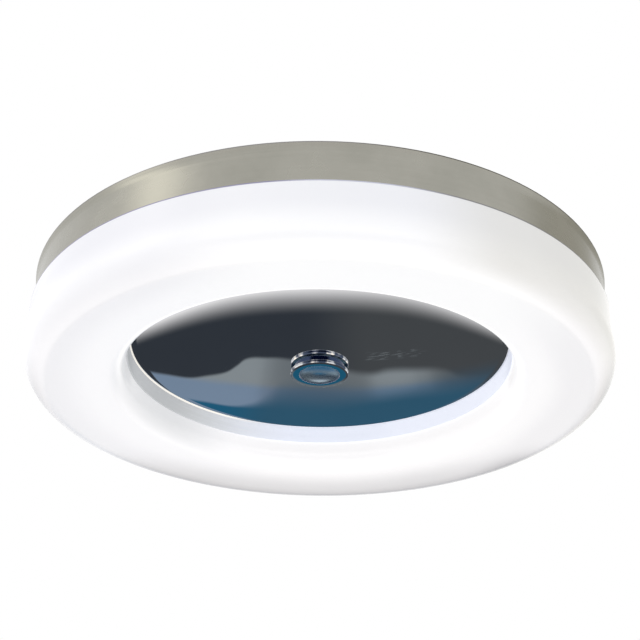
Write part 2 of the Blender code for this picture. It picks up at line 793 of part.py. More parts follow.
def make_driver_circuit(parts, looks, pocket_end, pocket_top, cover_top):
    half_length = pocket_end - DRIVER_BOARD_MARGIN
    half_width = DRIVER_WIDTH / 2 - DRIVER_WALL - DRIVER_BOARD_MARGIN
    circuit_top = pocket_top - SEAT_GAP
    circuit_underside = circuit_top - DRIVER_BOARD_THICKNESS
    box(
        "driver_circuit",
        (-half_length, driver_middle - half_width, circuit_underside),
        (half_length, driver_middle + half_width, circuit_top),
        looks["circuit_green"],
        parts,
    )
    component_top = circuit_underside - SEAT_GAP
    component_underside = cover_top + COMPONENT_LIFT
    half_core = TRANSFORMER_LENGTH / 2
    half_coil = TRANSFORMER_WIDTH / 2
    box(
        "driver_transformer",
        (-half_core, driver_middle - half_coil, component_underside),
        (half_core, driver_middle + half_coil, component_top),
        looks["ferrite"],
        parts,
    )
    for number in range(CAPACITORS):
        mesh = bmesh.new()
        place = ((2 * number - 1) * CAPACITOR_DISTANCE, driver_middle)
        add_rod(mesh, place, CAPACITOR_RADIUS, component_top, component_underside)
        name = f"driver_capacitor_{number + 1}"
        finish_mesh(name, mesh, looks["capacitor_sleeve"], parts)


# Terminal block, grommet and the leads to the driver and the boards


def make_terminal_block(parts, cutters, looks):
    block = box(
        "terminal_block",
        (terminal_low_end, terminal_line - TERMINAL_WIDTH / 2, terminal_top - TERMINAL_HEIGHT),
        (terminal_high_end, terminal_line + TERMINAL_WIDTH / 2, terminal_top),
        looks["connector_white"],
        parts,
    )
    pitch = TERMINAL_LENGTH / TERMINAL_POLES
    places = [
        (terminal_low_end + (number + 0.5) * pitch, terminal_line)
        for number in range(TERMINAL_POLES)
    ]
    pocket_floor = terminal_top - TERMINAL_POLE_DEPTH
    mesh = bmesh.new()
    for place in places:
        add_rod(mesh, place, TERMINAL_POLE_RADIUS, terminal_top + CUT_OVERRUN, pocket_floor)
    pockets = as_cutter(finish_mesh("terminal_pockets", mesh, None, cutters))
    combine(block, pockets, "DIFFERENCE")
    low = pocket_floor + SEAT_GAP
    for number, place in enumerate(places, start=1):
        mesh = bmesh.new()
        add_rod(mesh, place, TERMINAL_POLE_RADIUS - SEAT_GAP, low + TERMINAL_SCREW_HEIGHT, low)
        finish_mesh(f"terminal_screw_{number}", mesh, looks["brass"], parts)


def make_grommet(parts, looks):
    groove = GROMMET_HOLE_RADIUS - SEAT_GAP
    lip_top = floor_top + SEAT_GAP
    lip_underside = floor_underside - SEAT_GAP
    outline = [
        (GROMMET_RADIUS, lip_top + GROMMET_LIP),
        (GROMMET_RADIUS, lip_top),
        (groove, lip_top),
        (groove, lip_underside),
        (GROMMET_RADIUS, lip_underside),
        (GROMMET_RADIUS, lip_underside - GROMMET_LIP),
        (GROMMET_BORE_RADIUS, lip_underside - GROMMET_LIP),
        (GROMMET_BORE_RADIUS, lip_top + GROMMET_LIP),
    ]
    place = (grommet_place, terminal_line, 0.0)
    turned("lead_grommet", outline, SMALL_STEPS, looks["rubber"], parts, place=place)


def make_supply_leads(parts, looks):
    bore_top = floor_top + GROMMET_LIP
    bore_underside = floor_underside - GROMMET_LIP - SUPPLY_DROP
    for side, name, look in ((-1, "live_lead", "lead_black"), (1, "neutral_lead", "lead_white")):
        line = terminal_line + side * LEAD_SPACING / 2
        start = (terminal_high_end + SEAT_GAP, line, terminal_top - TERMINAL_HEIGHT / 2)
        above = (grommet_place, line, bore_top)
        below = (grommet_place, line, bore_underside)
        end_line = driver_lead_line - side * LEAD_SPACING / 2
        end_height = (driver_top + driver_underside) / 2
        end = (driver_end + SEAT_GAP, end_line, end_height)
        route = swing(start, (1, 0, 0), above, (0, 0, -1), SUPPLY_REACH, LEAD_STEPS)
        reach = DRIVER_REACH - side * LEAD_NESTING_SHARE * LEAD_SPACING
        route += swing(below, (0, 0, -1), end, (-1, 0, 0), reach, LEAD_STEPS)
        leads(name, [route], LEAD_RADIUS, looks[look], parts)


def make_output_leads(parts, looks):
    feed_angle = math.pi - (math.pi / BOARD_COUNT - connector_end_angle)
    reach = OUTPUT_REACH_SHARE * (board_radius - driver_end)
    outputs = ((-1, "output_lead_negative", "lead_black"), (1, "output_lead_positive", "lead_red"))
    for side, name, look in outputs:
        start_line = driver_lead_line - side * LEAD_SPACING / 2
        start = (-driver_end - SEAT_GAP, start_line, lead_level)
        radius = board_radius + side * LEAD_SPACING / 2
        end = Vector((*polar(radius, feed_angle), lead_level))
        arriving = Vector((math.sin(feed_angle), -math.cos(feed_angle), 0.0))
        end -= arriving * 2 * SEAT_GAP
        line = (1 - 2 * side) * LEAD_RADIUS
        corner = (BOARD_WIDTH / 2 + OUTPUT_TURN - board_radius, line, lead_level)
        route = swing(start, (-1, 0, 0), corner, (-1, 0, 0), reach, LEAD_STEPS)
        route += swing(corner, (-1, 0, 0), end, arriving, OUTPUT_TURN, TURN_STEPS)[1:]
        leads(name, [route], LEAD_RADIUS, looks[look], parts)


# Lens, collar, retainer and dish, which come down together


def lens_outline():
    outer_middle = (FIXTURE_RADIUS - OUTER_ROUNDING, -FIXTURE_DEPTH + OUTER_ROUNDING)
    inner_middle = (
        lens_inner_radius + INNER_ROUNDING,
        -FIXTURE_DEPTH + BOTTOM_RISE + INNER_ROUNDING,
    )
    run = outer_middle[0] - inner_middle[0]
    rise = inner_middle[1] - outer_middle[1]
    tilt = math.atan2(rise, run) + math.asin((OUTER_ROUNDING - INNER_ROUNDING) / math.hypot(run, rise))
    turn = -math.pi / 2 - tilt
    flange_radius = lens_inner_radius - LENS_FLANGE_WIDTH
    wall_radius = FIXTURE_RADIUS - ACRYLIC_WALL
    outline = [
        (neck_radius, neck_top),
        (neck_radius, shoulder),
        (FIXTURE_RADIUS, shoulder),
    ]
    outline += arc(outer_middle, OUTER_ROUNDING, 0.0, turn, CORNER_STEPS)
    outline += arc(inner_middle, INNER_ROUNDING, turn, -math.pi, CORNER_STEPS)
    outline += [
        (lens_inner_radius, lens_flange_underside),
        (flange_radius, lens_flange_underside),
        (flange_radius, lens_flange_top),
        (channel_inner_radius, lens_flange_top),
    ]
    outline += arc(inner_middle, INNER_ROUNDING - ACRYLIC_WALL, -math.pi, turn, CORNER_STEPS)
    outline += arc(outer_middle, OUTER_ROUNDING - ACRYLIC_WALL, turn, 0.0, CORNER_STEPS)
    outline += [
        (wall_radius, shoulder - ACRYLIC_WALL),
        (channel_outer_radius, shoulder - ACRYLIC_WALL),
        (channel_outer_radius, neck_top),
    ]
    return outline


def retainer_screw_places():
    return [
        polar(retainer_screw_radius, 2 * math.pi * (number + 0.5) / RETAINER_SCREWS)
        for number in range(RETAINER_SCREWS)
    ]


def make_lens(parts, cutters, looks):
    holes = rod_cutter(
        "retainer_screw_holes",
        retainer_screw_places(),
        fixing_hole_radius,
        retainer_top,
        collar_flange_underside,
        cutters,
    )
    lens = turned("ring_lens", lens_outline(), ROUND_STEPS, looks["opal_acrylic"], parts)
    combine(lens, holes, "DIFFERENCE")
    collar_outline = [
        (collar_radius, collar_top),
        (collar_radius, collar_top - COLLAR_HEIGHT),
        (collar_inner_radius, collar_top - COLLAR_HEIGHT),
        (collar_inner_radius, collar_flange_underside),
        (collar_radius - COLLAR_FLANGE_WIDTH, collar_flange_underside),
        (collar_radius - COLLAR_FLANGE_WIDTH, collar_top),
    ]
    collar = turned("dish_collar", collar_outline, ROUND_STEPS, looks["satin_aluminium"], parts)
    combine(collar, holes, "DIFFERENCE")
    inner = lens_inner_radius - LENS_FLANGE_WIDTH + RETAINER_EDGE_MARGIN
    outer = channel_inner_radius - RETAINER_EDGE_MARGIN
    retainer_outline = [
        (outer, retainer_top),
        (outer, retainer_underside),
        (inner, retainer_underside),
        (inner, retainer_top),
    ]
    retainer = turned("lens_retainer", retainer_outline, ROUND_STEPS, looks["zinc_plate"], parts)
    combine(retainer, holes, "DIFFERENCE")


def make_retainer_screws(parts, looks):
    head_underside = retainer_top + SEAT_GAP
    outline = [
        (0.0, retainer_screw_top),
        (FIXING_HEAD_RADIUS, retainer_screw_top),
        (FIXING_HEAD_RADIUS, head_underside),
        (FIXING_RADIUS, head_underside),
        (FIXING_RADIUS, collar_flange_underside),
        (0.0, collar_flange_underside),
    ]
    name = "retainer_screw"
    first = turned(name, outline, SMALL_STEPS, looks["zinc_plate"], parts, closed=False)
    copies(first, name, retainer_screw_places())


def dome_drop(radius, dome_radius):
    """How far the dish hangs below its rim at a radius: a shallow ball shape with a flat middle."""
    along = max(radius, DISH_FLAT_RADIUS)
    share = (dome_radius**2 - along**2) / (dome_radius**2 - DISH_FLAT_RADIUS**2)
    return DISH_DOME_DEPTH * share


def make_dish(parts, looks):
    dome_radius = DISH_RADIUS - DISH_RIM_WIDTH
    hole_radius = STUD_RADIUS + DISH_HOLE_CLEARANCE
    radii = [DISH_RADIUS, dome_radius]
    for step in range(1, DISH_DOME_STEPS):
        share = step / DISH_DOME_STEPS
        radii.append(dome_radius + (DISH_FLAT_RADIUS - dome_radius) * share)
    radii += [DISH_FLAT_RADIUS, hole_radius]
    drops = [0.0 if radius > dome_radius else dome_drop(radius, dome_radius) for radius in radii]
    upper = [(radius, dish_rim_top - drop) for radius, drop in zip(radii, drops)]
    lower = [(radius, height - DISH_SHEET) for radius, height in upper]
    turned("chrome_dish", lower + upper[::-1], ROUND_STEPS, looks["chrome"], parts)


# Finial


def make_finial(parts, looks):
    washer_outline = [
        (FINIAL_WASHER_RADIUS, finial_washer_top),
        (FINIAL_WASHER_RADIUS, finial_washer_top - FINIAL_WASHER_THICKNESS),
        (finial_bore_radius, finial_washer_top - FINIAL_WASHER_THICKNESS),
        (finial_bore_radius, finial_washer_top),
    ]
    turned("finial_washer", washer_outline, FINIAL_STEPS, looks["fibre"], parts)
    seat_bore = FINIAL_BOSS_RADIUS + SEAT_GAP
    edge_radius = FINIAL_RADIUS - FINIAL_EDGE
    seat_outline = [
        (edge_radius, finial_seat_top),
        (FINIAL_RADIUS, finial_seat_top - FINIAL_EDGE),
        (FINIAL_RADIUS, finial_seat_underside + FINIAL_EDGE),
        (edge_radius, finial_seat_underside),
        (seat_bore, finial_seat_underside),
        (seat_bore, finial_seat_top),
    ]
    turned("finial_seat_ring", seat_outline, FINIAL_STEPS, looks["chrome"], parts)
    insert_bore = finial_insert_radius + SEAT_GAP
    boss_top = finial_seat_top - SEAT_GAP
    knob_outline = [
        (0.0, finial_bore_end),
        (insert_bore, finial_bore_end),
        (insert_bore, boss_top),
        (FINIAL_BOSS_RADIUS, boss_top),
        (FINIAL_BOSS_RADIUS, finial_neck_top),
        (FINIAL_NECK_RADIUS, finial_neck_top),
        (FINIAL_NECK_RADIUS, finial_rim_top),
        (edge_radius, finial_rim_top),
        (FINIAL_RADIUS, finial_rim_top - FINIAL_EDGE),
        (FINIAL_RADIUS, finial_face + FINIAL_EDGE),
        (edge_radius, finial_face),
        (FINIAL_RECESS_RADIUS, finial_face),
        (FINIAL_RECESS_RADIUS, finial_recess_top),
        (0.0, finial_recess_top),
    ]
    turned("finial_knob", knob_outline, FINIAL_STEPS, looks["chrome"], parts, closed=False)
    insert_outline = [
        (finial_insert_radius, boss_top),
        (finial_insert_radius, finial_bore_end + SEAT_GAP),
        (finial_bore_radius, finial_bore_end + SEAT_GAP),
        (finial_bore_radius, boss_top),
    ]
    turned("finial_insert", insert_outline, FINIAL_STEPS, looks["brass"], parts)
    make_finial_lens(parts, looks)


def make_finial_lens(parts, looks):
    """The polished button in the recess: a disc whose lower face is slightly hollow."""
    radius = FINIAL_RECESS_RADIUS - SEAT_GAP
    top = finial_recess_top - SEAT_GAP
    outline = [(0.0, top), (radius, top)]
    for step in range(FINIAL_LENS_STEPS + 1):
        share = 1 - step / FINIAL_LENS_STEPS
        hollow = FINIAL_LENS_HOLLOW * (1 - share**2)
        outline.append((radius * share, top - FINIAL_LENS_EDGE + hollow))
    turned("finial_button", outline, FINIAL_STEPS, looks["chrome"], parts, closed=False)


def main():
    clear_scene()
    parts = new_collection("led_ceiling_light")
    cutters = new_collection("cutters")
    looks = make_materials()
    make_strap(parts, looks)
    make_stud(parts, looks)
    make_earth(parts, looks)
    make_pan(parts, cutters, looks)
    make_band(parts, looks)
    make_gasket(parts, looks)
    make_boards(parts, cutters, looks)
    make_board_links(parts, looks)
    make_board_screws(parts, looks)
    make_driver(parts, cutters, looks)
    make_terminal_block(parts, cutters, looks)
    make_grommet(parts, looks)
    make_supply_leads(parts, looks)
    make_output_leads(parts, looks)
    make_lens(parts, cutters, looks)
    make_retainer_screws(parts, looks)
    make_dish(parts, looks)
    make_finial(parts, looks)


main()
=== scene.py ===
"""Round flush ceiling light: an opal ring lens under a nickel band, a chrome dish in a satin collar
held up by a turned finial, and the fittings on its ceiling side.

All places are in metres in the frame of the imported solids: the ceiling is the plane z = 0, the light
hangs below it on the Z axis, and the camera stands in front, on the -Y side.
"""

import json
import math

import bmesh
import bpy
from bpy.props import FloatProperty, FloatVectorProperty, PointerProperty
from mathutils import Matrix, Vector


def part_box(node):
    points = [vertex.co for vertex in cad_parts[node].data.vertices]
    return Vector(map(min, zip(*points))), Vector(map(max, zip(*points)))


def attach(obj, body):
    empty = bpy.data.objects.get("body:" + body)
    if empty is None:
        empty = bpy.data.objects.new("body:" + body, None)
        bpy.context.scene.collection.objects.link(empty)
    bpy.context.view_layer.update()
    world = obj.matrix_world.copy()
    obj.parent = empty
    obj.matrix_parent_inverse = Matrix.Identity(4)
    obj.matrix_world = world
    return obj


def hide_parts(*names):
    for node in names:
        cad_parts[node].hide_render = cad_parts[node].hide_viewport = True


bl_info = {
    "name": "Flush Ceiling Light",
    "version": (1, 0, 0),
    "blender": (4, 5, 0),
    "location": "View3D > Sidebar > Ceiling Light",
    "description": "Builds a round flush ceiling light round its packed solids",
    "category": "Object",
}

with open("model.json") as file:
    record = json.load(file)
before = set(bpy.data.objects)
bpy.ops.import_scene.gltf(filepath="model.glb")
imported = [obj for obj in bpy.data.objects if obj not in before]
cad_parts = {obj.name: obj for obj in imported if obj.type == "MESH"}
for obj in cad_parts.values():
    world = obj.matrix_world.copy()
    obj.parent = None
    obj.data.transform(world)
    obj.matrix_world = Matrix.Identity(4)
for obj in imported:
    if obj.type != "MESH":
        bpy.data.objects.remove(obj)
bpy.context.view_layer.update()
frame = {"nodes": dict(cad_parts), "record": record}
body_of = {
    node: body for body, nodes in frame["record"]["behaviour"]["bodies"].items() for node in nodes
}

MERGE_DISTANCE = 0.000001
CUT_OVERRUN = 0.002
CLEARANCE = 0.0003
SOFT, FINE, THIN_EDGE = 0.0003, 0.0002, 0.00015  # roundings of rolled, turned and punched edges
MOULDED = 0.0006  # rounding of moulded edges
ROUND_STEPS, FINIAL_STEPS, WASHER_STEPS, SMALL_STEPS = 160, 96, 64, 32
FULL_TURN, QUARTER_TURN = 2 * math.pi, math.pi / 2
TO_DEGREES = 180 / math.pi
FLAT, SHARP, RIM = (math.radians(degrees) for degrees in (0.5, 38, 60))  # angles between faces
ORIGIN, UP = (0.0, 0.0, 0.0), (0.0, 0.0, 1.0)
WHITE = (1.0, 1.0, 1.0)
SCREW_HOLE, EARTH_HOLE = 0.0018, 0.0024  # radii
LEAD_LEVEL = -0.0078  # of the leads that run under the pan
DRIVER_ENTRY = (0.0523, 0.0745)  # where leads enter the driver, aside and back from the axis
LEAD_SPACING = 0.0018  # from the line between two leads to each of them


# Sizes and colours that a user would change


def length(name, text, default):
    return FloatProperty(name=name, description=text, default=default, unit="LENGTH", precision=5)


def amount(name, text, default):
    return FloatProperty(name=name, description=text, default=default, min=0.0, precision=3)


def turn(name, text, default):
    return FloatProperty(name=name, description=text, default=default, subtype="ANGLE", precision=4)


def power(name, text, default):
    return FloatProperty(name=name, description=text, default=default, unit="POWER")


def colour(name, text, default):
    return FloatVectorProperty(
        name=name, description=text, default=default, subtype="COLOR", size=3, min=0.0, max=1.0
    )


class StudioSettings(bpy.types.PropertyGroup):
    """The floor, the light and the camera."""

    camera_distance: length("Camera distance", "From the camera to the ceiling's middle", 0.76276)
    camera_tilt: turn("Camera tilt", "How far below the ceiling the camera stands", 0.5098)
    camera_dip: turn("Camera dip", "How far the camera looks below the middle", 0.00563)
    camera_roll: turn("Camera roll", "Turn of the camera about its own axis", 0.0099)
    camera_lens: amount("Camera lens", "Focal length in millimetres", 62.86)
    floor_height: length("Floor height", "Height of the pale floor below the ceiling", -0.62)
    floor_radius: length("Floor radius", "Radius of the pale floor", 6.0)
    floor_colour: colour("Floor", "Colour of the pale floor", (0.86, 0.86, 0.86))
    ambient: amount("Ambient", "Soft light from all round", 0.62)
    key_power: power("Key power", "Large soft lamp at the left", 11.0)
    fill_power: power("Fill power", "Soft lamp low in front", 4.0)
    back_power: power("Back power", "Soft lamp above the far side", 6.0)
    slate: colour("Dark card", "Dark card that the dish mirrors", (0.044, 0.051, 0.063))
    smoke: colour("Smoky card", "Right half of the dark card", (0.084, 0.088, 0.092))
    haze: colour("Haze", "Upper part of the pale patches on the cards", (0.342, 0.372, 0.385))
    mist: colour("Mist", "Lower part of the pale patches on the cards", (0.258, 0.343, 0.462))
    teal: colour("Blue card", "Blue card along the far edge", (0.040, 0.127, 0.205))
    bright_teal: colour("Bright blue", "Left end of the blue card", (0.021, 0.143, 0.257))
    navy: colour("Front card", "Dark blue card behind the camera", (0.02, 0.035, 0.11))
    olive: colour("Side card", "Greyed side that the band mirrors", (0.60, 0.585, 0.53))


class LensSettings(bpy.types.PropertyGroup):
    """The opal ring lens."""

    wall: length("Wall", "Thickness of the acrylic", 0.0025)
    outer_rounding: length("Outer rounding", "Rounding of the outer lower edge", 0.015)
    inner_rounding: length("Inner rounding", "Rounding of the inner lower edge", 0.012)
    bottom_rise: length("Bottom rise", "How much higher the inner edge ends than the outer", 0.005)
    shoulder: length("Shoulder", "Height of the shoulder under the band", -0.0258)
    neck_radius: length("Neck radius", "Radius of the neck inside the pan", 0.1853)
    flange_underside: length("Flange underside", "Height of the inner flange's underside", -0.027)
    edge: length("Edge", "Rounding of the moulded edges", 0.0006)
    tint: colour("Opal", "Colour of the acrylic under the studio light", (0.42, 0.42, 0.43))
    # The glow colours paint the lamp's light and shade by place: the dimmer and tinted far, left, side
    # and right glows are painted shade and painted reflection.
    inner_glow: colour("Inner glow", "Light through the face beside the dish", (0.67, 0.66, 0.66))
    outer_glow: colour("Outer glow", "Light through the outer part of the face", (0.58, 0.57, 0.575))
    near_glow: colour("Near glow", "Light through the near part of the face", (0.67, 0.665, 0.66))
    far_glow: colour("Far glow", "Light through the far outer edge", (0.37, 0.36, 0.36))
    left_glow: colour("Left glow", "Light through the left of the side wall", (0.40, 0.405, 0.45))
    side_glow: colour("Side glow", "Light through the middle of the side wall", (0.485, 0.49, 0.52))
    right_glow: colour("Right glow", "Light through the right of the side wall", (0.385, 0.38, 0.36))


class BandSettings(bpy.types.PropertyGroup):
    """The nickel trim band."""

    flare_width: length("Flare width", "How far the top edge leans out", 0.0014)
    flare_height: length("Flare height", "Height of the flared edge", 0.004)
    edge: length("Edge", "Rounding of the band's edges", 0.00035)
    nickel: colour("Nickel", "Colour of the brushed nickel", (0.41, 0.40, 0.355))
    nickel_shade: colour("Nickel shade", "Darker tone of the nickel", (0.33, 0.325, 0.285))


class DishSettings(bpy.types.PropertyGroup):
    """The mirror dish and its satin collar."""

    sheet: length("Sheet", "Thickness of the dish", 0.001)
    rim_width: length("Rim width", "Flat rim of the dish", 0.0009)
    dome_depth: length("Dome depth", "How far the middle hangs below the rim", 0.0064)
    flat_radius: length("Flat radius", "Radius of the flat middle", 0.016)
    hole_radius: length("Hole radius", "Radius of the hole for the stud", 0.006)
    collar_sheet: length("Collar sheet", "Thickness of the collar", 0.001)
    edge: length("Edge", "Rounding of the sheet edges", 0.0003)
    chrome: colour("Chrome", "Colour of the polished chrome", (0.62, 0.65, 0.68))
    satin: colour("Satin metal", "Colour of the satin collar", (0.74, 0.76, 0.80))


class FinialSettings(bpy.types.PropertyGroup):
    """The turned finial."""

    edge: length("Edge", "Rounding of the two rims", 0.0007)
    neck_radius: length("Neck radius", "Radius of the groove between the rims", 0.0165)
    recess_radius: length("Recess radius", "Radius of the recess for the button", 0.0134)
    recess_depth: length("Recess depth", "Depth of the recess for the button", 0.0016)
    rim_height: length("Rim height", "Height of the lower rim", 0.0022)
    web: length("Web", "Metal between the recess and the threaded bore", 0.0011)
    boss_radius: length("Boss radius", "Radius of the boss inside the seat ring", 0.0085)
    button_hollow: length("Button hollow", "How hollow the button's face is", 0.0008)
    # Painted shade: the dark tint stands for shade in the groove, the recess wall and the button's
    # edge.
    groove: colour("Groove", "Darkened chrome in the groove", (0.055, 0.08, 0.15))
    # Painted reflection: the pale blue tint stands for the blue that the button mirrors.
    button: colour("Button", "Polished metal of the button", (0.66, 0.84, 0.98))


class CeilingSideSettings(bpy.types.PropertyGroup):
    """The pan and what hangs it from the ceiling."""

    pan_sheet: length("Pan sheet", "Thickness of the pan", 0.001)
    bend: length("Bend", "Outer rounding of the pan's bends", 0.0021)
    bead_radius: length("Bead radius", "Radius of the stiffening bead", 0.1285)
    bead_width: length("Bead width", "Width of the stiffening bead", 0.0075)
    bead_height: length("Bead height", "Height of the stiffening bead", 0.0011)
    thread_pitch: length("Thread pitch", "Pitch of the stud's thread", 0.0012)
    fine_pitch: length("Fine pitch", "Pitch of the fixing screws", 0.0006)
    nut_width: length("Nut width", "Width of the nuts across their flats", 0.016)
    enamel: colour("Enamel", "White enamel of the pan", (0.80, 0.80, 0.79))
    zinc: colour("Zinc", "Plated steel of the strap, nuts and screws", (0.52, 0.53, 0.55))


class WiringSettings(bpy.types.PropertyGroup):
    """The boards, the driver and the leads."""

    lead_radius: length("Lead radius", "Radius of the single leads", 0.0009)
    link_radius: length("Link radius", "Radius of the leads between boards", 0.0014)
    board_radius: length("Board radius", "Radius of the boards' middle line", 0.1564)
    diode_length: length("Diode length", "Length of a diode's package", 0.005)
    diode_width: length("Diode width", "Width of a diode's package", 0.0035)
    diode_height: length("Diode height", "Height of a diode's package", 0.0012)
    phosphor: colour("Phosphor", "Face of the diodes", (0.85, 0.66, 0.16))


SETTINGS = {
    "studio": StudioSettings,
    "lens": LensSettings,
    "band": BandSettings,
    "dish": DishSettings,
    "finial": FinialSettings,
    "ceiling_side": CeilingSideSettings,
    "wiring": WiringSettings,
}


def settings(group):
    return getattr(bpy.context.scene, "ceiling_light_" + group)


# Shapes


def span(node, middle=(0.0, 0.0)):
    """Inner radius, outer radius, underside and top of a round solid."""
    places = [vert.co for vert in frame["nodes"][node].data.vertices]
    radii = [math.hypot(place.x - middle[0], place.y - middle[1]) for place in places]
    low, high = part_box(node)
    return min(radii), max(radii), low.z, high.z


def middle_of(node):
    low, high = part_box(node)
    return (low + high) / 2


def polar(radius, angle):
    return (radius * math.cos(angle), radius * math.sin(angle))


def close_mesh(mesh):
    bmesh.ops.remove_doubles(mesh, verts=mesh.verts[:], dist=MERGE_DISTANCE)
    bmesh.ops.recalc_face_normals(mesh, faces=mesh.faces[:])
    return mesh


def move(mesh, matrix):
    bmesh.ops.transform(mesh, matrix=matrix, verts=mesh.verts[:])
    return mesh


def moved_to(mesh, x, y, z=0.0):
    return move(mesh, Matrix.Translation((x, y, z)))


def mesh_data(name, mesh):
    data = bpy.data.meshes.new(name)
    mesh.to_mesh(data)
    mesh.free()
    return data


def in_scene(name, data):
    made = bpy.data.objects.new(name, data)
    bpy.context.scene.collection.objects.link(made)
    return made


def join(mesh, *others):
    """The first mesh with the others added to it."""
    for other in others:
        data = mesh_data("joining", other)
        mesh.from_mesh(data)
        bpy.data.meshes.remove(data)
    return mesh


def evaluated(kind, *helpers):
    """A mesh of the first helper object as its modifiers leave it. The helpers are removed, and
    so is what they hold, from its kind of data."""
    graph = bpy.context.evaluated_depsgraph_get()
    made = bpy.data.meshes.new_from_object(helpers[0].evaluated_get(graph))
    mesh = bmesh.new()
    mesh.from_mesh(made)
    bpy.data.meshes.remove(made)
    for helper in helpers:
        data = helper.data
        bpy.data.objects.remove(helper)
        kind.remove(data)
    return mesh


def draw_path(mesh, corners, closed=False):
    """Joins corners (radius, height) by edges in the XZ plane."""
    verts = [mesh.verts.new((corner[0], 0.0, corner[1])) for corner in corners]
    for pair in zip(verts, verts[1:] + verts[: int(closed)]):
        mesh.edges.new(pair)
    return verts


def bevel(mesh, geom, offset, segments, affect="EDGES"):
    bmesh.ops.bevel(
        mesh, geom=geom, offset=offset, offset_type="OFFSET", affect=affect, segments=segments,
        profile=0.5, material=-1, clamp_overlap=affect == "EDGES",
    )


def spin(mesh, angle, steps, rise=0.0, merge=True):
    bmesh.ops.spin(
        mesh, geom=mesh.verts[:] + mesh.edges[:], cent=ORIGIN, axis=UP, dvec=(0.0, 0.0, rise),
        angle=angle, steps=steps, use_merge=merge, use_normal_flip=False, use_duplicate=False,
    )


def turned(outline, steps, closed=True, middle=(0.0, 0.0)):
    """A mesh turned about an upright axis from corners (radius, height, rounding)."""
    mesh = bmesh.new()
    corners = [(*corner, 0.0)[:3] for corner in outline]
    for index, vert in enumerate(draw_path(mesh, corners, closed)):
        rounding = corners[index][2]
        if rounding > 0.0:
            here = Vector(corners[index][:2])
            before = Vector(corners[index - 1][:2]) - here
            after = Vector(corners[(index + 1) % len(corners)][:2]) - here
            offset = rounding / math.tan(before.angle(after) / 2)
            segments = min(14, 3 + int(rounding / 0.001))  # one more for each millimetre
            bevel(mesh, [vert], offset, segments, "VERTICES")
    spin(mesh, FULL_TURN, steps)
    return moved_to(close_mesh(mesh), *middle)


def ring(node, steps, outer_top, outer_low, inner_low, inner_top):
    """A plain ring with the sizes of its solid and these roundings."""
    inner, outer, low, top = span(node)
    outline = [(outer, top, outer_top), (outer, low, outer_low), (inner, low, inner_low)]
    return turned(outline + [(inner, top, inner_top)], steps)


def trim_with_plane(mesh, point, outwards):
    """Cuts off what lies outside a plane and closes the cut."""
    geom = mesh.verts[:] + mesh.edges[:] + mesh.faces[:]
    trimmed = bmesh.ops.bisect_plane(
        mesh, geom=geom, dist=MERGE_DISTANCE, plane_co=point, plane_no=outwards, clear_outer=True
    )
    rim = [item for item in trimmed["geom_cut"] if isinstance(item, bmesh.types.BMEdge)]
    bmesh.ops.holes_fill(mesh, edges=rim, sides=0)


def threaded(radius, pitch, top, underside, steps=20):
    """A threaded rod on the Z axis with small chamfers at its ends."""
    root = radius - 0.6 * pitch
    start = top + pitch
    flat = 0.1 * pitch
    mesh = bmesh.new()
    draw_path(mesh, [
        (radius, start),
        (radius, start - flat),
        (root, start - pitch / 2 + flat / 2),
        (root, start - pitch / 2 - flat / 2),
        (radius, start - pitch),
    ])
    turns = math.ceil((top - underside) / pitch) + 2
    spin(mesh, FULL_TURN * turns, steps * turns, -pitch / steps, merge=False)
    bmesh.ops.remove_doubles(mesh, verts=mesh.verts[:], dist=MERGE_DISTANCE)
    trim_with_plane(mesh, (0.0, 0.0, top), UP)
    trim_with_plane(mesh, (0.0, 0.0, underside), (0.0, 0.0, -1.0))
    for vert in mesh.verts:
        over = max(0.0, vert.co.z - top + pitch, underside + pitch - vert.co.z)
        reach = math.hypot(vert.co.x, vert.co.y)
        limit = radius - over * 0.8
        if reach > limit:
            vert.co.x *= limit / reach
            vert.co.y *= limit / reach
    return close_mesh(mesh)


def block(low, high, rounding=0.0, segments=3):
    low, high = Vector(low), Vector(high)
    mesh = bmesh.new()
    size = Matrix.Diagonal((*(high - low), 1.0))
    bmesh.ops.create_cube(mesh, size=1.0, matrix=Matrix.Translation((low + high) / 2) @ size)
    if rounding:
        bevel(mesh, mesh.edges[:], rounding, segments)
    return mesh


def rod(radius, low, high, middle=(0.0, 0.0), steps=SMALL_STEPS, tip_radius=None):
    mesh = bmesh.new()
    bmesh.ops.create_cone(
        mesh, cap_ends=True, segments=steps, radius1=radius, radius2=tip_radius or radius,
        depth=high - low, matrix=Matrix.Translation((middle[0], middle[1], (low + high) / 2)),
    )
    return mesh


def arc(middle, radius, start, end, steps):
    angles = [start + (end - start) * step / steps for step in range(steps + 1)]
    points = [polar(radius, angle) for angle in angles]
    return [(middle[0] + x, middle[1] + y) for x, y in points]


def circle(radius, middle=(0.0, 0.0), steps=SMALL_STEPS):
    return arc(middle, radius, 0.0, FULL_TURN, steps)[:-1]


def rounded_rectangle(half_x, half_y, corner, middle=(0.0, 0.0)):
    points = []
    for quarter, (side_x, side_y) in enumerate([(1, 1), (-1, 1), (-1, -1), (1, -1)]):
        centre = (middle[0] + side_x * (half_x - corner), middle[1] + side_y * (half_y - corner))
        start = quarter * QUARTER_TURN
        points += arc(centre, corner, start, start + QUARTER_TURN, 6)
    return points


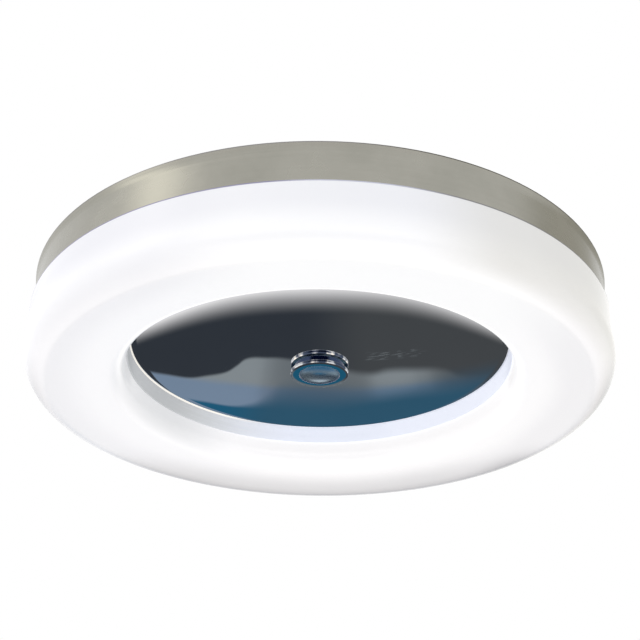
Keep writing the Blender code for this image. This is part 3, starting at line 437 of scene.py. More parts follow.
def plate(outlines, thickness, top, rounding):
    """A flat piece cut to the first outline, with the others as holes and its rims rounded."""
    flat = bpy.data.curves.new("outline", "CURVE")
    flat.dimensions = "2D"
    flat.fill_mode = "BOTH"
    flat.extrude = thickness / 2
    for outline in outlines:
        spline = flat.splines.new("POLY")
        spline.points.add(len(outline) - 1)
        for point, (x, y) in zip(spline.points, outline):
            point.co = (x, y, 0.0, 1.0)
        spline.use_cyclic_u = True
    mesh = close_mesh(evaluated(bpy.data.curves, in_scene("shaping", flat)))
    bmesh.ops.dissolve_limit(mesh, angle_limit=FLAT, verts=mesh.verts[:], edges=mesh.edges[:])
    rims = [edge for edge in mesh.edges if edge.calc_face_angle(0.0) > RIM]
    bevel(mesh, rims, rounding, 2)
    return moved_to(mesh, 0.0, 0.0, top - thickness / 2)


def cut(mesh, *cutters):
    """The mesh with the shapes of the cutters taken out of it."""
    for cutter in cutters:
        body, tool = (in_scene("cutting", mesh_data("cutting", part)) for part in (mesh, cutter))
        modifier = body.modifiers.new("Cut", "BOOLEAN")
        modifier.object = tool
        modifier.operation = "DIFFERENCE"
        mesh = evaluated(bpy.data.meshes, body, tool)
    return mesh


def bend(start, leaving, end, arriving, reach):
    """Four control points of one smooth bend between two directions."""
    start, end = Vector(start), Vector(end)
    return [start, start + Vector(leaving) * reach, end - Vector(arriving) * reach, end]


def tube(bends, radius):
    """A round lead along joined bends."""
    wire = bpy.data.curves.new("route", "CURVE")
    wire.dimensions = "3D"
    wire.bevel_depth = radius
    wire.bevel_resolution = 4
    wire.resolution_u = 14
    wire.use_fill_caps = True
    spline = wire.splines.new("BEZIER")
    stops = [(bends[0][0], bends[0][0], bends[0][1])]
    stops += [(first[3], first[2], second[1]) for first, second in zip(bends, bends[1:])]
    stops.append((bends[-1][3], bends[-1][2], bends[-1][3]))
    spline.bezier_points.add(len(stops) - 1)
    for point, (place, before, after) in zip(spline.bezier_points, stops):
        point.handle_left_type = point.handle_right_type = "FREE"
        point.co, point.handle_left, point.handle_right = place, before, after
    return close_mesh(evaluated(bpy.data.curves, in_scene("shaping", wire)))


def hexagon_nut(width, bore, underside, top):
    """A nut with chamfered corners, cut from a turned ring by six planes."""
    corner = width / 2 / math.cos(math.pi / 6)
    face = width * 0.48
    chamfer = (corner - face) * math.tan(math.pi / 6)
    lip = 0.0004
    outline = [(corner, top - chamfer), (corner, underside + chamfer), (face, underside)]
    outline += [(bore + lip, underside), (bore, underside + lip), (bore, top - lip)]
    mesh = turned(outline + [(bore + lip, top), (face, top)], 72)
    for side in range(6):
        outwards = Vector((*polar(1.0, side * math.pi / 3), 0.0))
        trim_with_plane(mesh, outwards * width / 2, outwards)
    return close_mesh(mesh)


def pan_head_screw(radius, pitch, head_radius, head_height, shank):
    """A screw that points up from z = 0, with a rounded head and a cross recess below."""
    outline = [(0.0, -head_height), (head_radius, -head_height, head_height * 0.62)]
    outline += [(head_radius, 0.0, head_height * 0.1), (0.0, 0.0)]
    head = turned(outline, SMALL_STEPS, closed=False)
    wide, narrow, depth = head_radius * 0.56, head_radius * 0.11, head_height * 0.62
    low = -head_height - CUT_OVERRUN
    for half_x, half_y in ((wide, narrow), (narrow, wide)):
        head = cut(head, block((-half_x, -half_y, low), (half_x, half_y, depth - head_height)))
    return join(head, threaded(radius, pitch, shank, -head_height * 0.2))


def paint(mesh, index, test):
    """Gives another finish to the faces whose middles (reach from the axis, height) pass the test."""
    for face in mesh.faces:
        place = face.calc_center_median()
        if test(math.hypot(place.x, place.y), place.z):
            face.material_index = index


def piece(name, mesh, looks, *nodes, slot=None, body=None, even_normals=True):
    """The finished piece: it stands for its solids and rides on their body."""
    looks = [looks] if isinstance(looks, str) else looks
    slot = slot or looks[0]
    data = mesh_data(name, mesh)
    data.shade_smooth()
    data.set_sharp_from_angle(angle=SHARP)
    for look_name in looks:
        data.materials.append(look(look_name))
    made = in_scene(name, data)
    if even_normals:
        made.modifiers.new("Even normals", "WEIGHTED_NORMAL").keep_sharp = True
    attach(made, body or body_of[nodes[0]])
    if nodes:
        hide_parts(*nodes)
    return made


def add_fixings(name, node, count, flipped=False):
    """Screws as long as their solids, their heads below, or above where they are flipped."""
    radius, head_radius, head = 0.0015, 0.0028, 0.0018
    for number in range(1, count + 1):
        low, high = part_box(f"{node}_{number}")
        pitch = settings("ceiling_side").fine_pitch
        mesh = pan_head_screw(radius, pitch, head_radius, head, high.z - low.z - head)
        if flipped:
            move(mesh, Matrix.Rotation(math.pi, 4, "X"))
        middle = (low + high) / 2
        moved_to(mesh, middle.x, middle.y, high.z - head if flipped else low.z + head)
        piece(f"{name}_{number}", mesh, "zinc_plate", f"{node}_{number}")


# Node helpers


def put(tree, kind, inputs=None, **values):
    made = tree.nodes.new(kind)
    for key, value in values.items():
        setattr(made, key, value)
    for key, value in (inputs or {}).items():
        feed(made.inputs[key], value)
    return made


def feed(socket, value):
    """Links a socket to another one, or sets its number or colour."""
    if isinstance(value, bpy.types.NodeSocket):
        socket.id_data.links.new(value, socket)
    elif isinstance(value, (int, float)) or len(value) == len(socket.default_value):
        socket.default_value = value
    else:
        socket.default_value = (*value, 1.0)


def calculate(operation, *values, **more):
    tree = next(value.id_data for value in values if isinstance(value, bpy.types.NodeSocket))
    return put(tree, "ShaderNodeMath", dict(enumerate(values)), operation=operation, **more).outputs[0]


def times(first, *others):
    for other in others:
        first = calculate("MULTIPLY", first, other)
    return first


def scaled(value, factor, added=0.0):
    return calculate("MULTIPLY_ADD", value, factor, added)


def off(value, middle):
    """How far a value is from a middle one."""
    return calculate("ABSOLUTE", calculate("SUBTRACT", value, middle))


def ease(value, start, end):
    """Rises smoothly from 0 at start to 1 at end."""
    inputs = {"Value": value, "From Min": start, "From Max": end}
    return put(
        value.id_data, "ShaderNodeMapRange", inputs, interpolation_type="SMOOTHSTEP"
    ).outputs["Result"]


def mix_colours(factor, first, second):
    inputs = {0: factor, 6: first, 7: second}
    return put(factor.id_data, "ShaderNodeMix", inputs, data_type="RGBA").outputs[2]


def mask(places, *ramps):
    """Rises where each named place has passed from its start to its end."""
    return times(*(ease(places[name], start, end) for name, start, end in ramps))


def layered(tone, places, *layers):
    """A tone with others laid over it in turn, each through the mask of its ramps."""
    for over, *ramps in layers:
        tone = mix_colours(mask(places, *ramps), tone, over)
    return tone


def noise(vector, scale, detail=3.0, roughness=0.55):
    inputs = {"Vector": vector, "Scale": scale, "Detail": detail, "Roughness": roughness}
    return put(vector.id_data, "ShaderNodeTexNoise", inputs).outputs["Fac"]


def object_place(tree):
    return put(tree, "ShaderNodeTexCoord").outputs["Object"]


def split(vector):
    return put(vector.id_data, "ShaderNodeSeparateXYZ", {0: vector}).outputs


def combine(x, y, z):
    return put(x.id_data, "ShaderNodeCombineXYZ", {0: x, 1: y, 2: z}).outputs[0]


def reach_of(x, y):
    return put(
        x.id_data, "ShaderNodeVectorMath", {0: combine(x, y, 0.0)}, operation="LENGTH"
    ).outputs["Value"]


def bump(height, strength, depth):
    inputs = {"Height": height, "Strength": strength, "Distance": depth}
    return put(height.id_data, "ShaderNodeBump", inputs).outputs["Normal"]


def new_group(name, outputs, **inputs):
    """An empty shader group: its tree, the sockets of its inputs and its output node."""
    tree = bpy.data.node_groups.new(name, "ShaderNodeTree")
    for label, default in inputs.items():
        socket = tree.interface.new_socket(
            name=label.replace("_", " "), in_out="INPUT", socket_type="NodeSocketFloat"
        )
        socket.default_value = default
    for label, kind in outputs.items():
        tree.interface.new_socket(name=label, in_out="OUTPUT", socket_type=kind)
    return tree, tree.nodes.new("NodeGroupInput").outputs, tree.nodes.new("NodeGroupOutput").inputs


MASK_AND_NORMAL = {"Mask": "NodeSocketFloat", "Normal": "NodeSocketVector"}


def give_surface(first, second, given, result):
    """Puts out the mean of two patterns, as a mask and as relief."""
    pattern = times(calculate("ADD", first, second), 0.5)
    feed(result["Mask"], pattern)
    feed(result["Normal"], bump(pattern, given["Strength"], given["Depth"]))


def make_turned_lines():
    """Fine lines that run round the Z axis, as turning, rolling or brushing leaves them."""
    tree, given, result = new_group(
        "turned_lines", MASK_AND_NORMAL, Lines_per_metre=2200.0, Run=14.0, Depth=0.00004, Strength=0.3
    )
    x, y, z = split(object_place(tree))
    across = times(calculate("ADD", reach_of(x, y), z), given["Lines per metre"])
    lines = combine(times(x, given["Run"]), times(y, given["Run"]), across)
    give_surface(noise(lines, 1.0, 2.0, 0.7), noise(lines, 0.23, 2.0, 0.6), given, result)


def make_fine_pores():
    """Small soft pits all over, as on foam, paint and moulded plastic."""
    tree, given, result = new_group(
        "fine_pores", MASK_AND_NORMAL, Pores_per_metre=900.0, Depth=0.00005, Strength=0.3
    )
    place = object_place(tree)
    inputs = {"Vector": place, "Scale": given["Pores per metre"]}
    cells = put(tree, "ShaderNodeTexVoronoi", inputs).outputs["Distance"]
    give_surface(noise(place, given["Pores per metre"], 2.0, 0.5), cells, given, result)


def make_mottle():
    """Large soft patches with a little fine grain in them."""
    tree, given, result = new_group("mottle", {"Mask": "NodeSocketFloat"}, Scale=30.0, Contrast=1.0)
    patches = noise(object_place(tree), given["Scale"], 4.0, 0.6)
    spread = times(calculate("SUBTRACT", patches, 0.5), given["Contrast"])
    feed(result["Mask"], calculate("ADD", spread, 0.5, use_clamp=True))


def group(tree, name, **inputs):
    made = tree.nodes.new("ShaderNodeGroup")
    made.node_tree = bpy.data.node_groups[name]
    for key, value in inputs.items():
        made.inputs[key.replace("_", " ")].default_value = value
    return made.outputs


# Finishes


def new_material(name):
    material = bpy.data.materials.new(name)
    material.use_nodes = True
    return material, material.node_tree, material.node_tree.nodes["Principled BSDF"]


def set_shader(shader, **inputs):
    for key, value in inputs.items():
        feed(shader.inputs[key.replace("_", " ")], value)


def plain_finish(
    name, base, second, roughness, lines, patches=40.0, depth=0.00004, strength=0.3, grain=0.35,
    metallic=0.0, **more
):
    """Two tones and a gloss that wander, with fine lines round metals and fine pores on the rest."""
    material, tree, shader = new_material(name)
    relief = dict(Depth=depth, Strength=strength)
    if metallic:
        surface = group(tree, "turned_lines", Lines_per_metre=lines, **relief)
    else:
        surface = group(tree, "fine_pores", Pores_per_metre=lines, **relief)
    patch = group(tree, "mottle", Scale=patches, Contrast=2.2)["Mask"]
    shift = scaled(calculate("SUBTRACT", surface["Mask"], 0.5), grain, patch)
    set_shader(
        shader, Base_Color=mix_colours(shift, base, second), Normal=surface["Normal"],
        Roughness=scaled(surface["Mask"], 0.12, roughness - 0.06), Metallic=metallic, **more
    )
    return material


def opal_finish(name):
    """Opal acrylic lit from inside, with light and shade painted into its glow by place: brightest
    beside the dish and over the near boards, a little dimmer at the left, and painted shade where it
    turns away at the far edge and the sides. Its side wall has a painted bluish reflection at the left,
    painted grey shade at the right, and a painted dark line of shade and reflection along the shoulder
    under the band."""
    sizes = settings("lens")
    material, tree, shader = new_material(name)
    x, y, z = split(object_place(tree))
    reach = reach_of(x, y)
    patch = group(tree, "mottle", Scale=9.0, Contrast=1.2)["Mask"]
    drift = scaled(calculate("SUBTRACT", patch, 0.5), 0.006, reach)
    places = dict(x=x, y=y, z=z, reach=reach, drift=drift, aside=calculate("ABSOLUTE", x))
    far_edge = (("y", 0.08, 0.15), ("drift", 0.134, 0.178))
    places["far"] = mask(places, *far_edge)
    at_left, at_right = ("x", -0.04, -0.10), ("x", 0.04, 0.105)
    turning = (("reach", 0.173, 0.187), ("y", -0.07, 0.01))
    corner = span("ring_lens")[1] - 0.0011
    shoulder = (
        ("z", sizes.shoulder - 0.0013, sizes.shoulder - 0.0007), ("reach", corner, corner + 0.0004)
    )
    # Painted shade: the face dims towards its outer part at the left.
    left_face = layered((0.64, 0.635, 0.645), places, ((0.57, 0.565, 0.58), ("reach", 0.145, 0.172)))
    # The side wall's glow: painted bluish reflection at the left, painted grey shade at the right and
    # painted dark shade at the far left.
    top = layered(
        sizes.side_glow, places, (sizes.left_glow, at_left), (sizes.right_glow, at_right),
        ((0.25, 0.255, 0.30), ("x", -0.162, -0.184)),
    )
    # Painted shade: the lower side wall glows a little darker, greyer at the right.
    foot = layered(
        (0.615, 0.615, 0.625), places, ((0.525, 0.525, 0.55), at_left), ((0.43, 0.42, 0.39), at_right)
    )
    # Painted shade and painted reflection of the band: a dark, violet line on the shoulder's top edge.
    painted_shoulder_shade = layered(
        (0.34, 0.35, 0.44), places,
        ((0.09, 0.08, 0.20), ("x", 0.0, -0.03)), ((0.02, 0.02, 0.015), ("x", 0.03, 0.08)),
    )
    glow = layered(
        sizes.outer_glow, places,
        (sizes.inner_glow, ("drift", 0.163, 0.141)),
        (sizes.near_glow, ("y", -0.02, -0.11), ("aside", 0.165, 0.09)),
        (left_face, ("x", -0.02, -0.10)),
        # Painted shade at the left of the opening.
        ((0.45, 0.455, 0.46), ("reach", 0.138, 0.127), ("x", -0.06, -0.11)),
        # Painted shade where the face turns away at the far edge.
        (sizes.far_glow, *far_edge),
        ((0.24, 0.23, 0.235), ("reach", 0.167, 0.180), ("y", 0.08, 0.15)),
        ((0.19, 0.18, 0.185), ("x", 0.10, 0.15), ("y", 0.06, 0.12), ("reach", 0.156, 0.180)),
        (layered(top, places, (foot, ("z", -0.036, -0.058))),
         ("reach", 0.176, 0.1895), ("far", 0.9, 0.2)),
        # Painted shade where the outer rounding turns away at the sides.
        ((0.14, 0.135, 0.125), *turning, ("x", 0.08, 0.14)),
        ((0.25, 0.25, 0.265), *turning, ("x", -0.08, -0.14)),
        (painted_shoulder_shade, *shoulder),
    )
    tone = mix_colours(times(patch, 0.2), sizes.tint, (0.40, 0.405, 0.43))
    # Painted shade: the base colour darkens along the shoulder under the band.
    tone = mix_colours(times(mask(places, *shoulder), 0.8), tone, (0.08, 0.08, 0.10))
    set_shader(
        shader, Base_Color=tone, Roughness=scaled(patch, 0.08, 0.21), Emission_Color=glow,
        Emission_Strength=1.0,
    )
    return material


def nickel_finish(name):
    """Brushed nickel: lines round the band, soft cloudy patches, a fine upright weld seam behind and a
    painted dark shade along the top edge, darker at the right."""
    sizes = settings("band")
    material, tree, shader = new_material(name)
    lines = group(tree, "turned_lines", Lines_per_metre=3200.0, Run=9.0, Depth=0.00006, Strength=0.35)
    patch = group(tree, "mottle", Scale=26.0, Contrast=1.8)["Mask"]
    shift = scaled(calculate("SUBTRACT", lines["Mask"], 0.5), 0.7, patch)
    tone = mix_colours(shift, sizes.nickel_shade, sizes.nickel)
    x, y, z = split(object_place(tree))
    places = dict(x=x, y=y, z=z, aside=calculate("ABSOLUTE", x))
    seam = mask(places, ("aside", 0.0005, 0.0001), ("y", 0.0, 0.01))
    tone = mix_colours(times(seam, 0.6), tone, (0.12, 0.115, 0.10))
    # Painted shade: a dark line along the top edge, darker at the right.
    painted_top_shade = layered((0.26, 0.25, 0.25), places, ((0.06, 0.055, 0.04), ("x", 0.0, 0.07)))
    set_shader(
        shader, Base_Color=layered(tone, places, (painted_top_shade, ("z", -0.0009, -0.0005))),
        Roughness=scaled(patch, 0.08, 0.22), Normal=lines["Normal"], Metallic=1.0,
    )
    return material


def chrome_finish(name, tone, roughness):
    """Mirror chrome with a breath of haze and hairlines from wiping."""
    material, tree, shader = new_material(name)
    lines = group(tree, "turned_lines", Lines_per_metre=700.0, Run=30.0, Depth=0.00001, Strength=0.012)
    haze = group(tree, "mottle", Scale=18.0, Contrast=1.6)["Mask"]
    set_shader(
        shader, Base_Color=mix_colours(haze, tuple(part * 0.93 for part in tone), tone),
        Roughness=scaled(haze, 0.02, roughness), Normal=lines["Normal"], Metallic=1.0,
    )
    return material


def rim_finish(name):
    """Chrome on the finial's narrow rims, with painted dark reflections and painted bright glints round
    them.
    """
    material, tree, shader = new_material(name)
    x, y, z = split(object_place(tree))
    stretched = combine(x, y, times(z, 0.35))
    patch = ease(noise(stretched, 150.0, 2.0), 0.45, 0.60)
    bright = ease(noise(stretched, 330.0, 1.0), 0.54, 0.66)
    lines = group(tree, "turned_lines", Lines_per_metre=2400.0, Run=30.0, Depth=0.00002, Strength=0.05)
    # Painted reflections: dark stretches and bright cream glints laid into the base colour.
    tone = mix_colours(patch, (0.055, 0.075, 0.12), settings("dish").chrome)
    tone = mix_colours(times(bright, patch), tone, (1.0, 0.97, 0.88))
    # Painted dark reflection on the far side of the rims.
    shaded = ((0.06, 0.10, 0.14), ("y", -0.004, 0.006), ("y", 0.0188, 0.0178))
    set_shader(
        shader, Base_Color=layered(tone, dict(y=y), shaded),
        Roughness=scaled(lines["Mask"], 0.06, 0.04), Normal=lines["Normal"], Metallic=1.0,
    )
    return material


def satin_finish(name):
    """Satin metal with streaks that run round it, with a painted glow for the light of the lens behind
    it, painted grey shade at the left and a painted cream highlight there along the dish."""
    sizes = settings("dish")
    material, tree, shader = new_material(name)
    lines = group(tree, "turned_lines", Lines_per_metre=2600.0, Run=16.0, Depth=0.00004, Strength=0.3)
    x, _, z = split(object_place(tree))
    streak = calculate("SUBTRACT", lines["Mask"], 0.5)
    # Painted shade: the base colour greys towards the left.
    side = scaled(streak, 0.5, ease(x, -0.11, -0.01))
    rim = span("chrome_dish")[3] - sizes.sheet
    # Painted light: the collar glows though it is no lamp, dimmer at the left.
    glow = layered(
        mix_colours(side, (0.24, 0.25, 0.25), (0.43, 0.455, 0.53)), dict(x=x, z=z),
        ((0.37, 0.39, 0.465), ("x", 0.015, 0.07)),
        # Painted shade at the far left.
        ((0.17, 0.18, 0.185), ("x", -0.085, -0.115)),
        # Painted cream highlight along the dish's rim at the left.
        ((0.72, 0.68, 0.60), ("z", rim - 0.0014, rim - 0.0007), ("x", -0.035, -0.08)),
    )
    set_shader(
        shader, Base_Color=mix_colours(side, (0.46, 0.47, 0.48), sizes.satin), Metallic=0.35,
        Roughness=scaled(lines["Mask"], 0.16, 0.30), Normal=lines["Normal"], Emission_Color=glow,
        Emission_Strength=1.0,
    )
    return material


def board_finish(name):
    """White solder mask over copper: faint traces run along the board in both rows."""
    material, tree, shader = new_material(name)
    x, y, _ = split(object_place(tree))
    row = off(off(reach_of(x, y), settings("wiring").board_radius), 0.007)
    trace = ease(row, 0.0025, 0.0022)
    surface = group(tree, "fine_pores", Pores_per_metre=1500.0, Depth=0.00002, Strength=0.2)
    tone = mix_colours(times(trace, 0.7), (0.80, 0.80, 0.78), (0.70, 0.72, 0.66))
    set_shader(
        shader, Base_Color=mix_colours(times(surface["Mask"], 0.15), tone, (0.9, 0.9, 0.9)),
        Normal=bump(scaled(surface["Mask"], 0.1, trace), 0.5, 0.00005),
        Roughness=scaled(surface["Mask"], 0.1, 0.36),
    )
    return material


def plain_finishes():
    """Two tones, roughness, lines or pores per metre, patches per metre and more of each."""
    side = settings("ceiling_side")
    return {
        "white_enamel": (side.enamel, (0.73, 0.73, 0.72), 0.38, 620, 16,
                         dict(depth=0.00006, strength=0.35, grain=0.2)),
        "zinc_plate": (side.zinc, (0.36, 0.375, 0.40), 0.34, 1700, 90, dict(depth=0.00003, metallic=1)),
        "foam": ((0.030, 0.030, 0.032), (0.065, 0.065, 0.066), 0.92, 1500, 200,
                 dict(depth=0.0003, strength=0.9, grain=1.4)),
        "rubber": ((0.020, 0.020, 0.021), (0.034, 0.034, 0.033), 0.58, 2200, 40, {}),
        "fibre": ((0.72, 0.69, 0.62), (0.60, 0.57, 0.50), 0.72, 2600, 220,
                  dict(depth=0.00008, strength=0.6)),
        "brass": ((0.72, 0.53, 0.22), (0.56, 0.38, 0.13), 0.28, 2600, 160, dict(metallic=1)),
        "green_screw": ((0.04, 0.27, 0.09), (0.02, 0.16, 0.06), 0.34, 2600, 300, dict(metallic=0.7)),
        "connector_white": ((0.80, 0.79, 0.73), (0.72, 0.70, 0.62), 0.42, 1800, 120,
                            dict(Coat_Weight=0.1)),
        "driver_shell": ((0.76, 0.76, 0.74), (0.69, 0.69, 0.67), 0.5, 2400, 50,
                         dict(depth=0.00006, strength=0.5)),
        "circuit_green": ((0.03, 0.17, 0.07), (0.05, 0.25, 0.10), 0.4, 900, 180, {}),
        "ferrite": ((0.06, 0.055, 0.055), (0.11, 0.10, 0.10), 0.6, 1800, 300, {}),
        "capacitor_sleeve": ((0.02, 0.035, 0.08), (0.03, 0.05, 0.12), 0.35, 1200, 200,
                             dict(Coat_Weight=0.3)),
        "lead_black": ((0.018, 0.018, 0.018), (0.035, 0.035, 0.035), 0.38, 2400, 300, {}),
        "lead_white": ((0.82, 0.82, 0.80), (0.72, 0.72, 0.69), 0.38, 2400, 300, {}),
        "lead_green": ((0.03, 0.26, 0.08), (0.02, 0.19, 0.06), 0.38, 2400, 300, {}),
        "lead_red": ((0.52, 0.025, 0.02), (0.40, 0.015, 0.015), 0.38, 2400, 300, {}),
        "diode_package": ((0.82, 0.81, 0.77), (0.76, 0.75, 0.70), 0.4, 3000, 400, {}),
        "diode_face": (settings("wiring").phosphor, (0.78, 0.55, 0.10), 0.3, 5200, 600,
                       dict(Coat_Weight=0.4, Emission_Color=(1.0, 0.86, 0.50), Emission_Strength=0.25)),
    }


def look(name):
    """The named finish, made the first time that a piece asks for it."""
    chrome, finial = settings("dish").chrome, settings("finial")
    special = {
        "opal_acrylic": (opal_finish, "opal acrylic"),
        "brushed_nickel": (nickel_finish, "brushed nickel"),
        "chrome": (chrome_finish, "mirror chrome", chrome, 0.012),
        "chrome_painted_shade": (chrome_finish, "dark groove", finial.groove, 0.10),
        "chrome_button": (chrome_finish, "button chrome", finial.button, 0.12),
        "chrome_rim": (rim_finish, "rim chrome"),
        "satin_aluminium": (satin_finish, "satin metal"),
        "board_white": (board_finish, "board white"),
    }
    if name not in made_looks:
        if name in special:
            make, *values = special[name]
            made_looks[name] = make(*values).name
        else:
            *values, more = plain_finishes()[name]
            made_looks[name] = plain_finish(name.replace("_", " "), *values, **more).name
    return bpy.data.materials[made_looks[name]]


made_looks = {}


# Pieces


class AddStage(bpy.types.Operator):
    """Make the pale floor, the soft light, what metal mirrors, and the camera."""

    bl_idname = "ceiling_light.add_stage"
    bl_label = "Stage"
    bl_options = {"REGISTER", "UNDO"}

    def execute(self, context):
        sizes = settings("studio")
        self.make_floor(sizes)
        self.make_world(sizes)
        self.add_lamp("key lamp", sizes.key_power, 0.9, (-1.24, -0.42, 0.80), (1.0, 0.97, 0.90))
        self.add_lamp("fill lamp", sizes.fill_power, 1.2, (0.5, -1.3, -0.35), (0.95, 0.98, 1.0))
        self.add_lamp("back lamp", sizes.back_power, 1.2, (0.9, 1.1, 0.9), WHITE)
        self.make_camera(sizes)
        context.scene.view_settings.view_transform = "Standard"
        return {"FINISHED"}

    def make_floor(self, sizes):
        mesh = bmesh.new()
        bmesh.ops.create_circle(mesh, cap_ends=True, segments=96, radius=sizes.floor_radius)
        floor = in_scene("floor", mesh_data("floor", moved_to(mesh, 0.0, 0.0, sizes.floor_height)))
        floor.visible_glossy = False
        material, tree, shader = new_material("pale floor")
        x, y, _ = split(object_place(tree))
        faint = group(tree, "mottle", Scale=3.0, Contrast=0.6)["Mask"]
        tone = mix_colours(times(faint, 0.1), sizes.floor_colour, (0.8, 0.8, 0.8))
        set_shader(shader, Base_Color=tone, Roughness=0.9)
        white = put(tree, "ShaderNodeEmission", {"Color": WHITE})
        share = times(ease(reach_of(x, y), 0.45, 1.3), self.seen(tree))
        inputs = {0: share, 1: shader.outputs[0], 2: white.outputs[0]}
        blended = put(tree, "ShaderNodeMixShader", inputs)
        feed(tree.nodes["Material Output"].inputs["Surface"], blended.outputs[0])
        floor.data.materials.append(material)

    def seen(self, tree):
        path = put(tree, "ShaderNodeLightPath").outputs
        return calculate("MAXIMUM", path["Is Camera Ray"], path["Is Transmission Ray"])

    def make_world(self, sizes):
        world = bpy.data.worlds.new("soft studio")
        bpy.context.scene.world = world
        world.use_nodes = True
        tree = world.node_tree
        glossy = put(tree, "ShaderNodeLightPath").outputs["Is Glossy Ray"]
        light = mix_colours(glossy, (sizes.ambient,) * 3, self.mirrored(tree, sizes))
        light = mix_colours(self.seen(tree), light, WHITE)
        feed(tree.nodes["Background"].inputs["Color"], light)

    def mirrored(self, tree, sizes):
        """What polished metal mirrors, by direction in degrees: white all round, soft dark and blue
        cards low on the far side, a blue one low in front, a greyed side at the right, and bright
        strips at the left and on the far side."""
        x, y, z = split(put(tree, "ShaderNodeTexCoord").outputs["Generated"])
        height = times(calculate("ARCSINE", z), TO_DEGREES)
        side = times(calculate("ARCTAN2", x, y), TO_DEGREES)
        square = times(side, side)
        around = scaled(side, -0.03, calculate("ABSOLUTE", height))
        around = scaled(square, 0.01926, around)
        around = scaled(times(square, square), 0.0000685, around)
        inputs = {"Value": around, "From Min": 34.9, "From Max": 39.0}
        rim = put(tree, "ShaderNodeMapRange", inputs).outputs["Result"]
        clear = calculate("MAXIMUM", times(rim, rim), ease(height, -9.0, -4.0))
        places = dict(
            height=height, front=times(y, -1.0), off_right=off(side, 66.0), off_left=off(side, -113.0),
            off_far=off(side, 8.0),
        )
        high = ("height", -4.0, 12.0)
        white = layered((1.20, 1.14, 1.11), places, (WHITE, ("height", -9.0, 0.0)))
        return layered(
            mix_colours(clear, self.make_cards(sizes, side, height), white), places,
            (sizes.navy, ("front", 0.55, 0.75), ("height", -46.0, -38.0), ("height", -8.0, -18.0)),
            (sizes.olive, ("off_right", 38.0, 12.0), high),
            ((2.0, 1.96, 1.84), ("off_left", 16.0, 2.0), high),
            ((1.5, 1.5, 1.45), ("off_far", 26.0, 4.0), high),
        )

    def make_cards(self, sizes, side, height):
        """The dark and blue cards, with pale patches whose edges follow lines of (side, height)."""
        drift = noise(combine(side, height, 0.0), 0.16, 2.0)
        wavy = scaled(calculate("SUBTRACT", drift, 0.5), 0.8, height)
        upper = self.along_side(
            side, (-17, -19.8), (-13, -20.6), (-11, -20.9), (-9.5, -21.9), (-8.2, -22.9), (-7.2, -24.9),
            (-6.4, -26.5), (-4.6, -26.9), (-2.7, -26.9), (0, -26.2), (4.3, -23.9), (6, -24.4),
            (8.5, -24.1), (10.5, -23.4), (12, -21.5), (17, -20),
        )
        pale = self.along_side(
            side, (-17, 0), (-6, 0), (-4.6, -8), (-2.7, -18), (0, -21), (3, -20), (4.3, -12), (6, -2),
            (8.5, -9), (10, -23), (11.5, -32), (13, -36), (17, -38),
        )
        start = self.along_side(
            side, (-17, -16.5), (-9, -16.3), (-7, -16.1), (-5.5, -17.4), (-4, -21.0), (-2.7, -24),
            (0, -24), (6, -23), (11, -24), (17, -24),
        )
        end = self.along_side(
            side, (-17, -15.8), (-9, -15.6), (-7, -15.3), (-4, -15.4), (0, -15), (6, -16.9),
            (11, -16.8), (17, -16),
        )
        soft = scaled(ease(side, -5.0, 4.0), 0.55, 0.45)
        first = ease(wavy, calculate("SUBTRACT", upper, soft), calculate("ADD", upper, soft))
        dark = mix_colours(ease(side, -2.0, 5.0), sizes.slate, sizes.smoke)
        patch = mix_colours(ease(wavy, -22.0, -20.0), sizes.haze, sizes.mist)
        patch = mix_colours(scaled(pale, 0.025, 1.0), dark, patch)
        card = mix_colours(first, dark, patch)
        blue = mix_colours(ease(side, -8.0, -3.5), sizes.bright_teal, sizes.teal)
        card = mix_colours(ease(wavy, start, end), card, blue)
        card = mix_colours(self.mirrored_streaks(side, height), card, sizes.haze)
        below = calculate("DIVIDE", calculate("ADD", height, 26.1), 1.5)
        spot = ease(reach_of(calculate("DIVIDE", side, 2.35), below), 1.06, 0.98)
        return mix_colours(spot, card, (0.017, 0.132, 0.228))

    def mirrored_streaks(self, side, height):
        """A few faint pale slanting streaks in what the dish mirrors, painted reflections that show
        beside the finial like scratches.
        """
        slanting = scaled(side, 0.16, height)
        spread = combine(times(side, 0.8), times(slanting, 5.4), 4.0)
        places = dict(noise=noise(spread, 1.0, 1.0), beside=off(side, 6.8), level=off(height, -27.4))
        ramps = ("noise", 0.56, 0.64), ("beside", 3.0, 2.0), ("level", 0.9, 0.5)
        return times(mask(places, *ramps), 0.5)

    def along_side(self, side, *points):
        """A number from -40 to 0 that changes along the sideways angle."""
        inputs = {"Value": side, "From Min": -20.0, "From Max": 20.0}
        share = put(side.id_data, "ShaderNodeMapRange", inputs).outputs["Result"]
        curve = put(side.id_data, "ShaderNodeFloatCurve", {"Value": share})
        line = curve.mapping.curves[0]
        places = [((angle + 20) / 40, (height + 40) / 40) for angle, height in points]
        line.points[0].location = places[0]
        line.points[1].location = places[-1]
        for place in places[1:-1]:
            line.points.new(*place)
        curve.mapping.update()
        return scaled(curve.outputs[0], 40.0, -40.0)

    def add_lamp(self, name, energy, size, place, tone):
        data = bpy.data.lights.new(name, "AREA")
        data.shape = "DISK"
        data.size, data.energy, data.color = size, energy, tone
        lamp = in_scene(name, data)
        lamp.visible_glossy = False
        aim = Vector((0.0, 0.0, -0.03)) - Vector(place)
        aim = aim.to_track_quat("-Z", "Y").to_matrix().to_4x4()
        lamp.matrix_world = Matrix.Translation(place) @ aim

